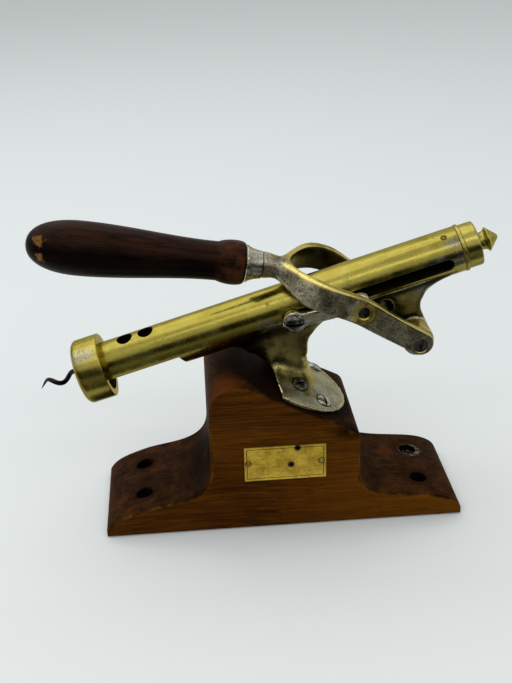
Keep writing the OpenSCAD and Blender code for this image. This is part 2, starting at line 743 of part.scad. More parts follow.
crosshead_flat = crosshead_r - 1;
module crosshead() color(brass) on_axis() difference() {
    intersection() {
        rod(crosshead_r, crosshead_front, crosshead_rear);
        translate([crosshead_front, -crosshead_flat, -crosshead_r])
            cube([crosshead_len, 2 * crosshead_flat, 2 * crosshead_r]);
    }
    rod(journal_d / 2 + run_gap, crosshead_front - eps, crosshead_rear + eps);
    translate([carriage_s, 0, slot_n]) both_sides()
        cross_rod(screw_r + seat_gap, screw_tip, crosshead_r + 1);
}

module slot_bushes() color(nickel) on_axis() translate([carriage_s, 0, slot_n]) both_sides() difference() {
    cross_rod(bush_r, crosshead_flat, link_in - run_gap);
    cross_rod(screw_r + seat_gap, crosshead_flat - 1, link_in + 1);
}

module link_screws() color(steel) on_axis() translate([carriage_s, 0, slot_n]) both_sides() {
    cross_rod(screw_r, screw_tip, link_out + run_gap + eps);
    translate([0, link_out + run_gap, 0]) rotate([-90, 0, 0]) rotate([0, 0, 20])
        slotted_dome(link_head_d / 2, link_head_t);
}

// Spindle: a long nose that carries the worm, a thrust collar and a journal in the crosshead
grub_d = 2.4;
grub_s = spindle_front + 5;
nut_stack = washer_t + spindle_nut_t;
module worm_spindle() color(steel) on_axis() difference() {
    revolve([[0, spindle_front], [worm_r + 1.4, spindle_front], [spindle_r, spindle_front + 5],
             [spindle_r, crosshead_front - collar_t - run_gap],
             [collar_r, crosshead_front - collar_t - run_gap], [collar_r, crosshead_front - run_gap],
             [journal_d / 2, crosshead_front - run_gap], [journal_d / 2, crosshead_rear + nut_stack + 1.5],
             [journal_d / 2 - 1, crosshead_rear + nut_stack + 2.5], [0, crosshead_rear + nut_stack + 2.5]]);
    rod(worm_r + run_gap, spindle_front - eps, worm_root + worm_socket);
    barrel_pin(grub_s, 0, grub_d / 2 + seat_gap, 0, spindle_r + 1);
}

module worm_screw() color(steel) on_axis()
    barrel_pin(grub_s, 0, grub_d / 2, worm_r + run_gap, spindle_r - 0.6);

module thrust_washer() color(brass) on_axis() difference() {
    rod(collar_r, crosshead_rear + run_gap, crosshead_rear + run_gap + washer_t);
    rod(journal_d / 2 + seat_gap, crosshead_rear - eps, crosshead_rear + washer_t + 1);
}

module spindle_nut() color(steel) on_axis() difference() {
    translate([crosshead_rear + run_gap + washer_t, 0, 0]) rotate([0, 90, 0])
        cylinder(r = collar_r, h = spindle_nut_t, $fn = 6);
    rod(journal_d / 2 + seat_gap, crosshead_rear, crosshead_rear + nut_stack + 1);
}

// Worm: one tube wound on a helix, thin at the point and drawn in to a straight shank
worm_rings = 8;
worm_sides = 6;
worm_start = 291.5;
helix_count = round(worm_turns * worm_rings);
draw_in = 0.7;
taper_turns = 0.6;
function worm_radius(t) = helix_r * min(1, (worm_turns - t) / draw_in);
function worm_point(t) = [-worm_tip + worm_lead * t,
    worm_radius(t) * cos(worm_start + 360 * t), worm_radius(t) * sin(worm_start + 360 * t)];
function worm_thick(t) = worm_r * min(1, 0.12 + 0.88 * t / taper_turns);
function unit(v) = v / norm(v);
// Six points round the tube at one place on the helix
function worm_ring(t) =
    let (turn = worm_start + 360 * t,
         along = unit(worm_point(min(t + 0.02, worm_turns)) - worm_point(t - 0.02)),
         across = unit(cross(along, [0, cos(turn), sin(turn)])),
         out = cross(across, along))
    [for (i = [0:worm_sides - 1]) let (w = 360 * i / worm_sides)
        worm_point(t) + worm_thick(t) * (out * cos(w) + across * sin(w))];
function shank_ring(s) =
    let (turn = worm_start + 360 * worm_turns, across = unit(cross([1, 0, 0], [0, cos(turn), sin(turn)])),
         out = cross(across, [1, 0, 0]))
    [for (i = [0:worm_sides - 1]) let (w = 360 * i / worm_sides)
        [s, 0, 0] + worm_r * (out * cos(w) + across * sin(w))];
worm_places = [for (i = [0:helix_count]) worm_turns * i / helix_count];
worm_points = concat(
    [for (t = worm_places) for (p = worm_ring(t)) p],
    shank_ring(worm_root + worm_wire), shank_ring(worm_root + worm_socket - move_gap));
worm_last = helix_count + 2;
worm_faces = concat(
    [for (k = [0:worm_last - 1]) for (i = [0:worm_sides - 1])
        let (a = k * worm_sides + i, b = k * worm_sides + (i + 1) % worm_sides) [a, a + worm_sides, b]],
    [for (k = [0:worm_last - 1]) for (i = [0:worm_sides - 1])
        let (a = k * worm_sides + i, b = k * worm_sides + (i + 1) % worm_sides)
            [b, a + worm_sides, b + worm_sides]],
    [for (i = [1:worm_sides - 2]) [0, i, i + 1]],
    [for (i = [1:worm_sides - 2]) let (k = worm_last * worm_sides) [k, k + i + 1, k + i]]);
worm_gap = min([for (i = [0:helix_count]) for (j = [i + worm_rings / 2:1:helix_count])
    norm(worm_point(worm_places[i]) - worm_point(worm_places[j])) - worm_wire]);
module worm() color(steel) on_axis() polyhedron(points = worm_points, faces = worm_faces, convexity = 6);

echo(least_gap_between_worm_turns = worm_gap);  // worm
echo(stroke = stroke, link_turn = link_angle - link_angle_end, carriage_s = carriage_s);

plinth();
name_plate();
plate_pins();
barrel_casting();
bell_mouth();
end_cap();
finial();
cap_pin();
flange_screws();
fulcrum_pin();
quick_nut();
nut_pin();
stripper_ring();
lever_fork();
ferrule();
handle();
link_pins();
near_link();
far_link();
crosshead();
slot_bushes();
link_screws();
worm_spindle();
worm();
worm_screw();
thrust_washer();
spindle_nut();
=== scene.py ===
import math
from contextlib import contextmanager

import bmesh
import bpy
import numpy as np
from mathutils import Matrix, Vector


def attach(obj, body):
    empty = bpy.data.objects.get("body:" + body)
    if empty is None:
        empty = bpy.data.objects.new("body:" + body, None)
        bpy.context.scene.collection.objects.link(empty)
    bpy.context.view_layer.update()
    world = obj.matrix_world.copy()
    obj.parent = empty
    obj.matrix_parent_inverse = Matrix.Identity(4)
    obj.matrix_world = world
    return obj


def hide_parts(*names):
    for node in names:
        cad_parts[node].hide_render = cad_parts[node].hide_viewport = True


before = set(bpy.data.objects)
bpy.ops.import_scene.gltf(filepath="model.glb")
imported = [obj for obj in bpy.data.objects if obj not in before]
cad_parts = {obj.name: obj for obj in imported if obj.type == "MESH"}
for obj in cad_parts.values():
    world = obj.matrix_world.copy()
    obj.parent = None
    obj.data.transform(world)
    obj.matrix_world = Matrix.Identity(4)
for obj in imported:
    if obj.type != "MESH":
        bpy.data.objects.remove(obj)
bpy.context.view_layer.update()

MM = 0.001
scene = bpy.context.scene

# Sizes that the pieces share with the CAD frame, in mm and degrees
TILT, AXIS_Z = 16.5, 142.3
BARREL_R, BORE_R = 15.0, 12.5
BARREL_FORE, BARREL_AFT = -124.0, 123.6
WINDOW_DROP, WINDOW_END, WINDOW_LEAN = 4.9, -69.5, 4.0
VENT_PLACES, VENT_TURN = (-100.0, -85.6), 8.0
SLOT_HALF, SLOT_N, SLOT_FROM, SLOT_TO = 4.1, -2.7, 4.09, 116.5
SMALL_PIN_R = 1.2
NUT_PIN = (-4.31, 49.5)
CAP_PIN = (114.9, 26.5)
BELL_R, BELL_FRONT, BELL_REAR, MOUTH_R, LIP_R = 21.5, -135.9, -117.6, 17.0, 3.6
CAP_BEAD_R, CAP_BEAD, CAP_R, CAP_REAR = 15.5, 2.6, 14.5, 136.0
FINIAL_R, FINIAL_NECK_R, FINIAL_LEN = 8.0, 6.0, 13.4
PED_TOP, SEAT_START, SEAT_FALL = 106.5, 24.0, 27.0
FLANGE_MID, FLANGE_R, FLANGE_T, FLANGE_EDGE = 36.0, 40.0, 3.0, 25.0
FLANGE_SCREWS = ((0.03, -0.505), (0.5, -0.59), (0.03, 0.65), (0.52, 0.68))
FLANGE_HEAD_R, FLANGE_HEAD_T = 5.0, 2.2
FULCRUM_S, FULCRUM_N, FULCRUM_R = 80.0, -40.5, 4.5
STRUT_HOLE = (67.5, -18.5)
ARM_ANGLE, FORK_HALF = 137.4, 35.0
PIN_U, PIN_V, LINK_PIN_R, RING_R, RING_T = 44.34, 6.39, 3.5, 6.3, 1.5
CRANK_LEN, CRANK_ANGLE = 44.8, 129.2
HILT_U, HILT_V, HANDLE_FALL = 108.2, -0.6, 17.3
FERRULE_LEN, FERRULE_R, NECK_R = 10.8, 12.0, 9.0
HANDLE_LEN, SWELL_R, GRIP_R, BEAD_R, BEAD_LEN = 137.8, 17.37, 12.5, 14.35, 18.0
CARRIAGE_S = 8.294
LINK_LEN, LINK_IN, LINK_OUT, LINK_EYE_R, LINK_HALF = 43.5, 18.5, 24.5, 7.2, 4.2
LINK_SCREW_R, LINK_HEAD_R, LINK_HEAD_T = 3.0, 6.4, 3.6
WORM_TIP, WORM_LEAD, WORM_TURNS, WORM_START = -165.0, 17.5, 3.7, 291.5
HELIX_R, WIRE_R = 2.5, 1.6
HALF_LEN, HALF_DEPTH = 120.0, 41.0
PED_FRONT, PED_REAR, SHOULDER_R = 48.5, 50.0, 18.0
FOOT_H, REAR_FOOT_H, NOSE_H, COVE_R, EDGE_R = 19.0, 17.0, 4.0, 16.0, 9.0
HOLE_X, HOLE_Y, HOLE_R = 94.5, 18.5, 5.0
PLATE_W, PLATE_H, PLATE_T, PLATE_Z = 54.0, 25.5, 1.2, 50.5
PLATE_PINS = ((-0.45, 0.03), (0.44, 0.0), (0.15, 0.42), (0.07, -0.06))
PLATE_PIN_R, PLATE_PIN_T = 1.5, 0.7
SEAT_GAP, RUN_GAP = 0.02, 0.05

# Sizes of the fine forms that the scene adds, and of its meshes, in mm and degrees
FLARE_IN, FLARE_HALF, FLARE_LOW, FLARE_H, FLARE_END, FLARE_LEAN = 10.5, 36.0, 4.0, 10.0, 71.0, 14.0
FLARE_CREST, FLARE_APRON, FLARE_LEAN_LEN, FLARE_MARGIN, FLARE_SINK = 36.0, 54.0, 16.0, 2.5, 0.2
FLARE_TOP = FLANGE_T + FLARE_H
FLANGE_SLOT_TURNS, LINK_SLOT_TURN = (35, 108, 10, 150), -15
VENT_R, FINIAL_HOLE_R, LINK_FILLET_R = 5.3, 1.5, 6.0
CAP_PLUG, CAP_PLUG_R = 6.0, 8.0
SQUARE_HALF, SQUARE_DEPTH, SQUARE_TURN = 1.5, 1.6, 20
BRACKET_VOXEL, FORK_VOXEL = 0.8, 0.6
CUT_WELD, RIM_WELD, FEATHER_WELD = 0.01, 0.004, 0.08

# Camera in m and degrees, and the grey that floor and room share far away
CAMERA_PLACE, CAMERA_LENS = (-0.06038, -0.64347, 0.43113), 57.22
CAMERA_YAW, CAMERA_PITCH, CAMERA_ROLL = -4.11, 25.81, 1.52
HORIZON = (0.56, 0.58, 0.58, 1)


def move(x, y, z):
    return Matrix.Translation(Vector((x, y, z)) * MM)


def turn(angle, axis):
    return Matrix.Rotation(math.radians(angle), 4, axis)


# Frames: along the barrel, on the seat, along the lever, along the handle and along the links
ON_AXIS = move(0, 0, AXIS_Z) @ turn(-TILT, "Y")
ON_SEAT = move(-SEAT_START, 0, PED_TOP) @ turn(SEAT_FALL, "Y")
ON_LEVER = ON_AXIS @ move(FULCRUM_S, 0, FULCRUM_N) @ turn(-ARM_ANGLE, "Y") @ turn(180, "X")
ON_HANDLE = ON_LEVER @ move(HILT_U, 0, HILT_V) @ turn(HANDLE_FALL, "Y")
# Signs of the handle's own y and z: towards the rear, and up
HANDLE_REAR, HANDLE_UP = (math.copysign(1, side) for side in (ON_HANDLE.col[1].y, ON_HANDLE.col[2].z))
LINK_RISE = FULCRUM_N + CRANK_LEN * math.sin(math.radians(CRANK_ANGLE)) - SLOT_N
ON_LINK = ON_AXIS @ move(CARRIAGE_S, 0, SLOT_N) @ turn(-math.degrees(math.asin(LINK_RISE / LINK_LEN)), "Y")
SIDES = ((-1, "near"), (1, "far"))


# Outlines

def bez(a, b, c, d, steps=16):
    """Points of a cubic curve, ends included."""
    a, b, c, d = (np.array(p, float) for p in (a, b, c, d))
    return [tuple(a * (1 - t) ** 3 + b * 3 * t * (1 - t) ** 2 + c * 3 * t * t * (1 - t) + d * t ** 3)
            for t in np.linspace(0, 1, steps + 1)]


def arc(centre, radius, start, end, steps=12):
    return [(centre[0] + radius * math.cos(w), centre[1] + radius * math.sin(w))
            for w in np.radians(np.linspace(start, end, steps + 1))]


def soft(corners, closed=False, steps=5):
    """A polyline whose corners (x, y, radius) are rounded."""
    out = []
    count = len(corners)
    for i, (x, y, radius) in enumerate(corners):
        here = np.array((x, y), float)
        if radius <= 0 or (not closed and i in (0, count - 1)):
            out.append((x, y))
            continue
        back = np.array(corners[i - 1][:2], float) - here
        ahead = np.array(corners[(i + 1) % count][:2], float) - here
        back_len, ahead_len = np.linalg.norm(back), np.linalg.norm(ahead)
        back, ahead = back / back_len, ahead / ahead_len
        half = math.acos(max(-1.0, min(1.0, float(back @ ahead)))) / 2
        cut = min(radius / math.tan(half), back_len * 0.48, ahead_len * 0.48)
        for t in np.linspace(0, 1, steps + 1):
            out.append(tuple(here + back * cut * (1 - t) ** 2 + ahead * cut * t * t))
    return out


def tidy(points, least=0.02):
    """The outline without points that lie on top of each other."""
    kept = [points[0]]
    for p in points[1:]:
        if math.dist(p, kept[-1]) > least:
            kept.append(p)
    if math.dist(kept[0], kept[-1]) < least:
        kept.pop()
    return kept


def inset(outline, distance):
    """The closed outline moved inwards, with mitred corners."""
    pts = np.array(outline, float)
    area = 0.5 * np.sum(pts[:, 0] * np.roll(pts[:, 1], -1) - np.roll(pts[:, 0], -1) * pts[:, 1])
    edge = np.roll(pts, -1, 0) - pts
    edge /= np.linalg.norm(edge, axis=1)[:, None]
    normal = np.stack([-edge[:, 1], edge[:, 0]], 1) * (1 if area > 0 else -1)
    before = np.roll(normal, 1, 0)
    mitre = (normal + before) / np.maximum(1 + np.sum(normal * before, 1), 0.3)[:, None]
    return pts + mitre * distance


# Meshes

def add(name, data):
    obj = bpy.data.objects.new(name, data)
    scene.collection.objects.link(obj)
    return obj


def smooth(obj, sharp=32):
    obj.data.shade_smooth()
    obj.data.set_sharp_from_angle(angle=math.radians(sharp))


@contextmanager
def editing(mesh):
    work = bmesh.new()
    work.from_mesh(mesh)
    yield work
    work.to_mesh(mesh)
    work.free()


def mesh_object(name, verts, faces, place, sharp=32):
    mesh = bpy.data.meshes.new(name)
    mesh.from_pydata([tuple(c * MM for c in v) for v in verts], [], faces)
    with editing(mesh) as work:
        bmesh.ops.recalc_face_normals(work, faces=work.faces)
    obj = add(name, mesh)
    obj.matrix_world = place
    smooth(obj, sharp)
    return obj


def lathe(name, profile, place, segments=128, closed=False):
    """A solid of revolution about x, from (place, radius) in mm."""
    rings, verts, faces = [], [], []
    turns = np.linspace(0, 2 * math.pi, segments, endpoint=False)
    for x, r in profile:
        if r < 1e-6:
            rings.append([len(verts)])
            verts.append((x, 0, 0))
        else:
            rings.append(list(range(len(verts), len(verts) + segments)))
            verts += [(x, r * math.cos(w), r * math.sin(w)) for w in turns]
    pairs = list(zip(rings, rings[1:]))
    if closed:
        pairs.append((rings[-1], rings[0]))
    for a, b in pairs:
        for i in range(segments):
            j = (i + 1) % segments
            corners = [a[i % len(a)], a[j % len(a)], b[j % len(b)], b[i % len(b)]]
            faces.append(list(dict.fromkeys(corners)))
    if not closed:
        faces += [ring for ring in (rings[0], rings[-1]) if len(ring) > 1]
    return mesh_object(name, verts, [f for f in faces if len(f) > 2], place)


def skin(rings, count):
    """Faces of a solid through rings of points, with both ends closed."""
    faces = []
    for k in range(rings - 1):
        for i in range(count):
            j = (i + 1) % count
            faces.append([k * count + i, k * count + j, (k + 1) * count + j, (k + 1) * count + i])
    return faces + [list(range(count)), list(range((rings - 1) * count, rings * count))]


def stack(name, outline, levels, place, sharp=32):
    """A solid through copies of a closed outline: levels are (inset, height), height along local z."""
    verts = [(x, y, height) for step, height in levels for x, y in inset(outline, step)]
    return mesh_object(name, verts, skin(len(levels), len(outline)), place, sharp)


def rounded_levels(low, high, radius, steps=4):
    """Levels of a slab between two heights with rounded rims."""
    curve = [(radius * (1 - math.sin(w)), radius * (1 - math.cos(w)))
             for w in np.linspace(0, math.pi / 2, steps + 1)]
    return ([(step, low + rise) for step, rise in curve]
            + [(step, high - rise) for step, rise in reversed(curve)])


def bake(obj):
    """Applies the object's modifiers to its mesh."""
    graph = bpy.context.evaluated_depsgraph_get()
    mesh = bpy.data.meshes.new_from_object(obj.evaluated_get(graph))
    obj.modifiers.clear()
    obj.data = mesh
    return obj


def weld(obj, gap):
    """Joins points that lie closer than a gap in mm."""
    step = obj.modifiers.new("weld", "WELD")
    step.merge_threshold = gap * MM


def cut(obj, *cutters, rim=0.0, sharp=32, gap=CUT_WELD):
    """Cuts the cutters out of the object, and rounds the new rims."""
    for cutter in cutters:
        step = obj.modifiers.new("cut", "BOOLEAN")
        step.operation = "DIFFERENCE"
        step.solver = "EXACT"
        step.object = cutter
    weld(obj, gap)
    bake(obj)
    for cutter in cutters:
        bpy.data.objects.remove(cutter)
    smooth(obj, sharp)
    if rim:
        step = obj.modifiers.new("rim", "BEVEL")
        step.width = rim * MM
        step.segments = 2
        step.limit_method = "ANGLE"
        step.angle_limit = math.radians(50)
        step.harden_normals = True
        weld(obj, RIM_WELD)
        bake(obj)


def drop_flaps(mesh):
    """Makes triangles of a closed mesh, and removes those with no volume behind them."""
    with editing(mesh) as work:
        bmesh.ops.triangulate(work, faces=work.faces)
        groups = {}
        for face in work.faces:
            groups.setdefault(frozenset(face.verts), []).append(face)
        flaps = [face for group in groups.values() for face in group
                 if len(group) > 1 or any(edge.is_boundary for edge in face.edges)]
        bmesh.ops.delete(work, geom=flaps, context="FACES")


def rod_cutter(radius, low, high, place, segments=64):
    """A cutter along local z."""
    profile = [(low, 0), (low, radius), (high, radius), (high, 0)]
    return lathe("cutter", profile, place @ turn(-90, "Y"), segments)


def box_cutter(low, high, place):
    (x0, y0, z0), (x1, y1, z1) = low, high
    return stack("cutter", [(x0, y0), (x1, y0), (x1, y1), (x0, y1)], [(0, z0), (0, z1)], place)


def gather(items, key, width=3, kind=float):
    """A property of all points or edges of a mesh, one row for each."""
    values = np.zeros(len(items) * width, kind)
    items.foreach_get(key, values)
    return values.reshape(-1, width)


def local(co, place):
    """World points as mm in a frame."""
    back = np.array(place.inverted())
    return (co @ back[:3, :3].T + back[:3, 3]) / MM


def reach(points, at=(0, 0), axes=(0, 2)):
    """Distances of local points from a place, seen along the axis that isn't named."""
    return np.hypot(points[:, axes[0]] - at[0], points[:, axes[1]] - at[1])


def ramp01(x, low, high):
    t = np.clip((np.asarray(x, float) - low) / (high - low), 0, 1)
    return t * t * (3 - 2 * t)


def piece(obj, body, slot, materials, *nodes):
    """Gives a finished piece its finish, its body and the CAD nodes it stands for."""
    if not isinstance(materials, (list, tuple)):
        materials = [materials]
    obj.data.materials.clear()
    for material in materials:
        obj.data.materials.append(material)
    own = obj.data.attributes.new("own", "FLOAT_VECTOR", "POINT")
    own.data.foreach_set("vector", gather(obj.data.vertices, "co").ravel().astype(np.float32))
    obj.data.transform(obj.matrix_world)
    obj.matrix_world = Matrix()
    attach(obj, body)
    if nodes:
        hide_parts(*nodes)


def middles(obj, place):
    """The middles of a piece's faces in a frame, in mm."""
    return local(np.array([face.center for face in obj.data.polygons]), place)


def second_finish(obj, chosen):
    """Gives the chosen faces the second of the piece's finishes."""
    obj.data.polygons.foreach_set("material_index", chosen.astype(np.int32))


# Castings: a remeshed copy of the CAD solid with soft corners

def relaxed(co, pairs, rounds, weight=None):
    """The points drawn towards their neighbours' middle, by a weight for each point."""
    first = np.concatenate([pairs[:, 0], pairs[:, 1]])
    second = np.concatenate([pairs[:, 1], pairs[:, 0]])
    count = np.maximum(np.bincount(first, minlength=len(co)), 1)
    pull = 0.5 if weight is None else (0.5 * weight)[:, None]
    for _ in range(rounds):
        mean = np.stack([np.bincount(first, co[second, k], len(co)) for k in range(3)], 1)
        co = co + pull * (mean / count[:, None] - co)
    return co


def remeshed(name, node, voxel, *extra):
    """A voxel copy of a CAD node, grown together with extra pieces."""
    obj = add(name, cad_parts[node].data.copy())
    with editing(obj.data) as work:
        for other in extra:
            other.data.transform(other.matrix_world)
            work.from_mesh(other.data)
            bpy.data.objects.remove(other)
    weld(obj, CUT_WELD)
    step = obj.modifiers.new("remesh", "REMESH")
    step.mode = "VOXEL"
    step.voxel_size = voxel * MM
    return bake(obj)


def reshape(mesh, co):
    mesh.vertices.foreach_set("co", co.ravel())
    mesh.update()


def paint(mesh, name, values):
    layer = mesh.attributes.new(name, "FLOAT", "POINT")
    layer.data.foreach_set("value", np.asarray(values, np.float32))


def normals(mesh):
    return gather(mesh.vertices, "normal")


def relief(mesh, co, pairs, rounds, depth):
    """How far each point stands out of its surroundings, from -1 in a hollow to 1 on an edge."""
    out = np.sum((co - relaxed(co, pairs, rounds)) * normals(mesh), 1) / MM
    return np.clip(out / depth, -1, 1)


# Places of the flare, the flange screws and the small pins

def flare_width(x):
    """Half widths of the flare at the neck and at the rim, and its height, at a place along the seat."""
    rim = math.sqrt(max(FLANGE_R ** 2 - (x - FLANGE_MID) ** 2, 0)) - FLARE_MARGIN
    apron = FLARE_LOW * (1 - ramp01(x, FLARE_APRON, FLARE_END))
    crest = (FLARE_H - FLARE_LOW) * (1 - ramp01(x, FLARE_CREST, FLARE_APRON))
    return FLARE_IN, min(FLARE_HALF, rim), FLARE_SINK + float(apron + crest)


def flare_point(x, share):
    """Width, height and slope of the flare from neck (0) to rim (1), half cone and half cove."""
    neck, rim, height = flare_width(x)
    w = math.asin(min(1 - share, 0.995))
    rise = height * 0.5 * (1 - share + 1 - math.cos(w))
    slope = math.atan2(height * 0.5 * (1 + math.tan(w)), rim - neck)
    return neck + (rim - neck) * share, FLANGE_T - FLARE_SINK + rise, math.degrees(slope)


def screw_place(down, across):
    """The frame of a flange screw's head, square to the flare under it."""
    x, y = FLANGE_MID + down * FLANGE_R, across * FLANGE_R
    neck, rim = flare_width(x)[:2]
    share = (abs(y) - neck) / (rim - neck)
    z, slope = flare_point(x, share)[1:] if share < 1 else (FLANGE_T, 0)
    return ON_SEAT @ move(x, y, z) @ turn(-math.copysign(slope, y), "X")


def on_barrel(pin):
    """The middle of a small pin's end in the barrel's frame, in mm."""
    along, angle = pin[0], math.radians(pin[1])
    return Vector((along, -BARREL_R * math.sin(angle), BARREL_R * math.cos(angle)))


# Materials

def rgb(code):
    """Linear colour of a hex code."""
    parts = [int(code[i:i + 2], 16) / 255 for i in (0, 2, 4)]
    return tuple(c / 12.92 if c <= 0.04045 else ((c + 0.055) / 1.055) ** 2.4 for c in parts) + (1.0,)


class Nodes:
    """Adds nodes to a tree and joins them."""

    def __init__(self, tree):
        self.tree = tree

    def feed(self, socket, value):
        if isinstance(value, bpy.types.NodeSocket):
            self.tree.links.new(value, socket)
        else:
            socket.default_value = value

    def node(self, kind, inputs=None, **settings):
        made = self.tree.nodes.new("ShaderNode" + kind)
        for key, value in settings.items():
            setattr(made, key, value)
        for key, value in (inputs or {}).items():
            self.feed(made.inputs[key], value)
        return made

    def span(self, value, low, high, out_low=0.0, out_high=1.0):
        return self.node("MapRange", {"Value": value, "From Min": low, "From Max": high,
                                      "To Min": out_low, "To Max": out_high},
                         interpolation_type="SMOOTHSTEP").outputs[0]

    def math(self, operation, a, b=0.0, clamp=False):
        return self.node("Math", {0: a, 1: b}, operation=operation, use_clamp=clamp).outputs[0]

    def times(self, a, b):
        return self.math("MULTIPLY", a, b)

    def plus(self, a, b):
        return self.math("ADD", a, b)

    def most(self, a, b):
        return self.math("MAXIMUM", a, b)

    def rest(self, share):
        """What a share leaves of 1."""
        return self.math("SUBTRACT", 1.0, share, True)

    def weigh(self, *parts):
        """Sum of values by their weights."""
        total = 0.0
        for value, weight in parts:
            total = self.plus(total, self.times(value, weight))
        return total

    def mix(self, share, a, b):
        return self.node("Mix", {0: share, 6: a, 7: b}, data_type="RGBA").outputs[2]

    def axes(self, where):
        return self.node("SeparateXYZ", {"Vector": where}).outputs


class Shader(Nodes):
    """Builds one procedural material, in the piece's own frame or in the shared one."""

    def __init__(self, name, own=False):
        self.material = bpy.data.materials.new(name)
        self.material.use_nodes = True
        super().__init__(self.material.node_tree)
        if own:
            self.place = self.node("Attribute", attribute_name="own").outputs["Vector"]
        else:
            self.place = self.node("TexCoord").outputs["Object"]

    def stretch(self, scale=(1, 1, 1), shift=(0, 0, 0), where=None):
        inputs = {"Vector": where or self.place, "Scale": scale, "Location": shift}
        return self.node("Mapping", inputs).outputs[0]

    def noise(self, where, scale=1.0, detail=4.0, rough=0.55, warp=0.0):
        return self.node("TexNoise", {"Vector": where, "Scale": scale, "Detail": detail,
                                      "Roughness": rough, "Distortion": warp}).outputs["Fac"]

    def grain(self, scale, detail, rough, shift=(0, 0, 0), where=None):
        """Noise that is drawn out along the axes with a small scale."""
        return self.noise(self.stretch(scale, shift, where), 1, detail, rough)

    def cells(self, where, scale, feature="F1"):
        return self.node("TexVoronoi", {"Vector": where, "Scale": scale}, feature=feature).outputs["Distance"]

    def normal_axes(self):
        return self.axes(self.node("NewGeometry").outputs["Normal"])

    def mask(self, name):
        return self.node("Attribute", attribute_name=name).outputs["Fac"]

    def near(self, point, radius, fade=0.5, squeeze=(1, 1, 1)):
        """1 at a point (mm), 0 beyond a radius. A squeezed direction counts less."""
        target = Vector([c * k for c, k in zip(point, squeeze)]) * MM
        gap = self.node("VectorMath", {0: self.stretch(squeeze), 1: target}, operation="DISTANCE")
        return self.span(gap.outputs["Value"], radius * MM, radius * MM * fade)

    def tint(self, value, low, high, dark, light):
        """A colour that runs from dark to light as a value rises."""
        return self.mix(self.span(value, low, high), rgb(dark), rgb(light))

    def stained(self, colour, share, strength, code):
        """A colour covered by another one, by a share and a strength."""
        return self.mix(self.times(share, strength), colour, rgb(code))

    def stain(self, share, strength, code):
        self.colour = self.stained(self.colour, share, strength, code)

    def bump(self, height, depth, normal=None):
        """A bump whose full height is depth in mm."""
        inputs = {"Height": height, "Distance": depth * MM, "Strength": 1.0}
        if normal is not None:
            inputs["Normal"] = normal
        return self.node("Bump", inputs).outputs[0]

    def finish(self, **sockets):
        """The material, with its colour and other inputs of its surface set."""
        surface = self.tree.nodes["Principled BSDF"].inputs
        self.feed(surface["Base Color"], self.colour)
        for key, value in sockets.items():
            self.feed(surface[key.replace("_", " ")], value)
        return self.material


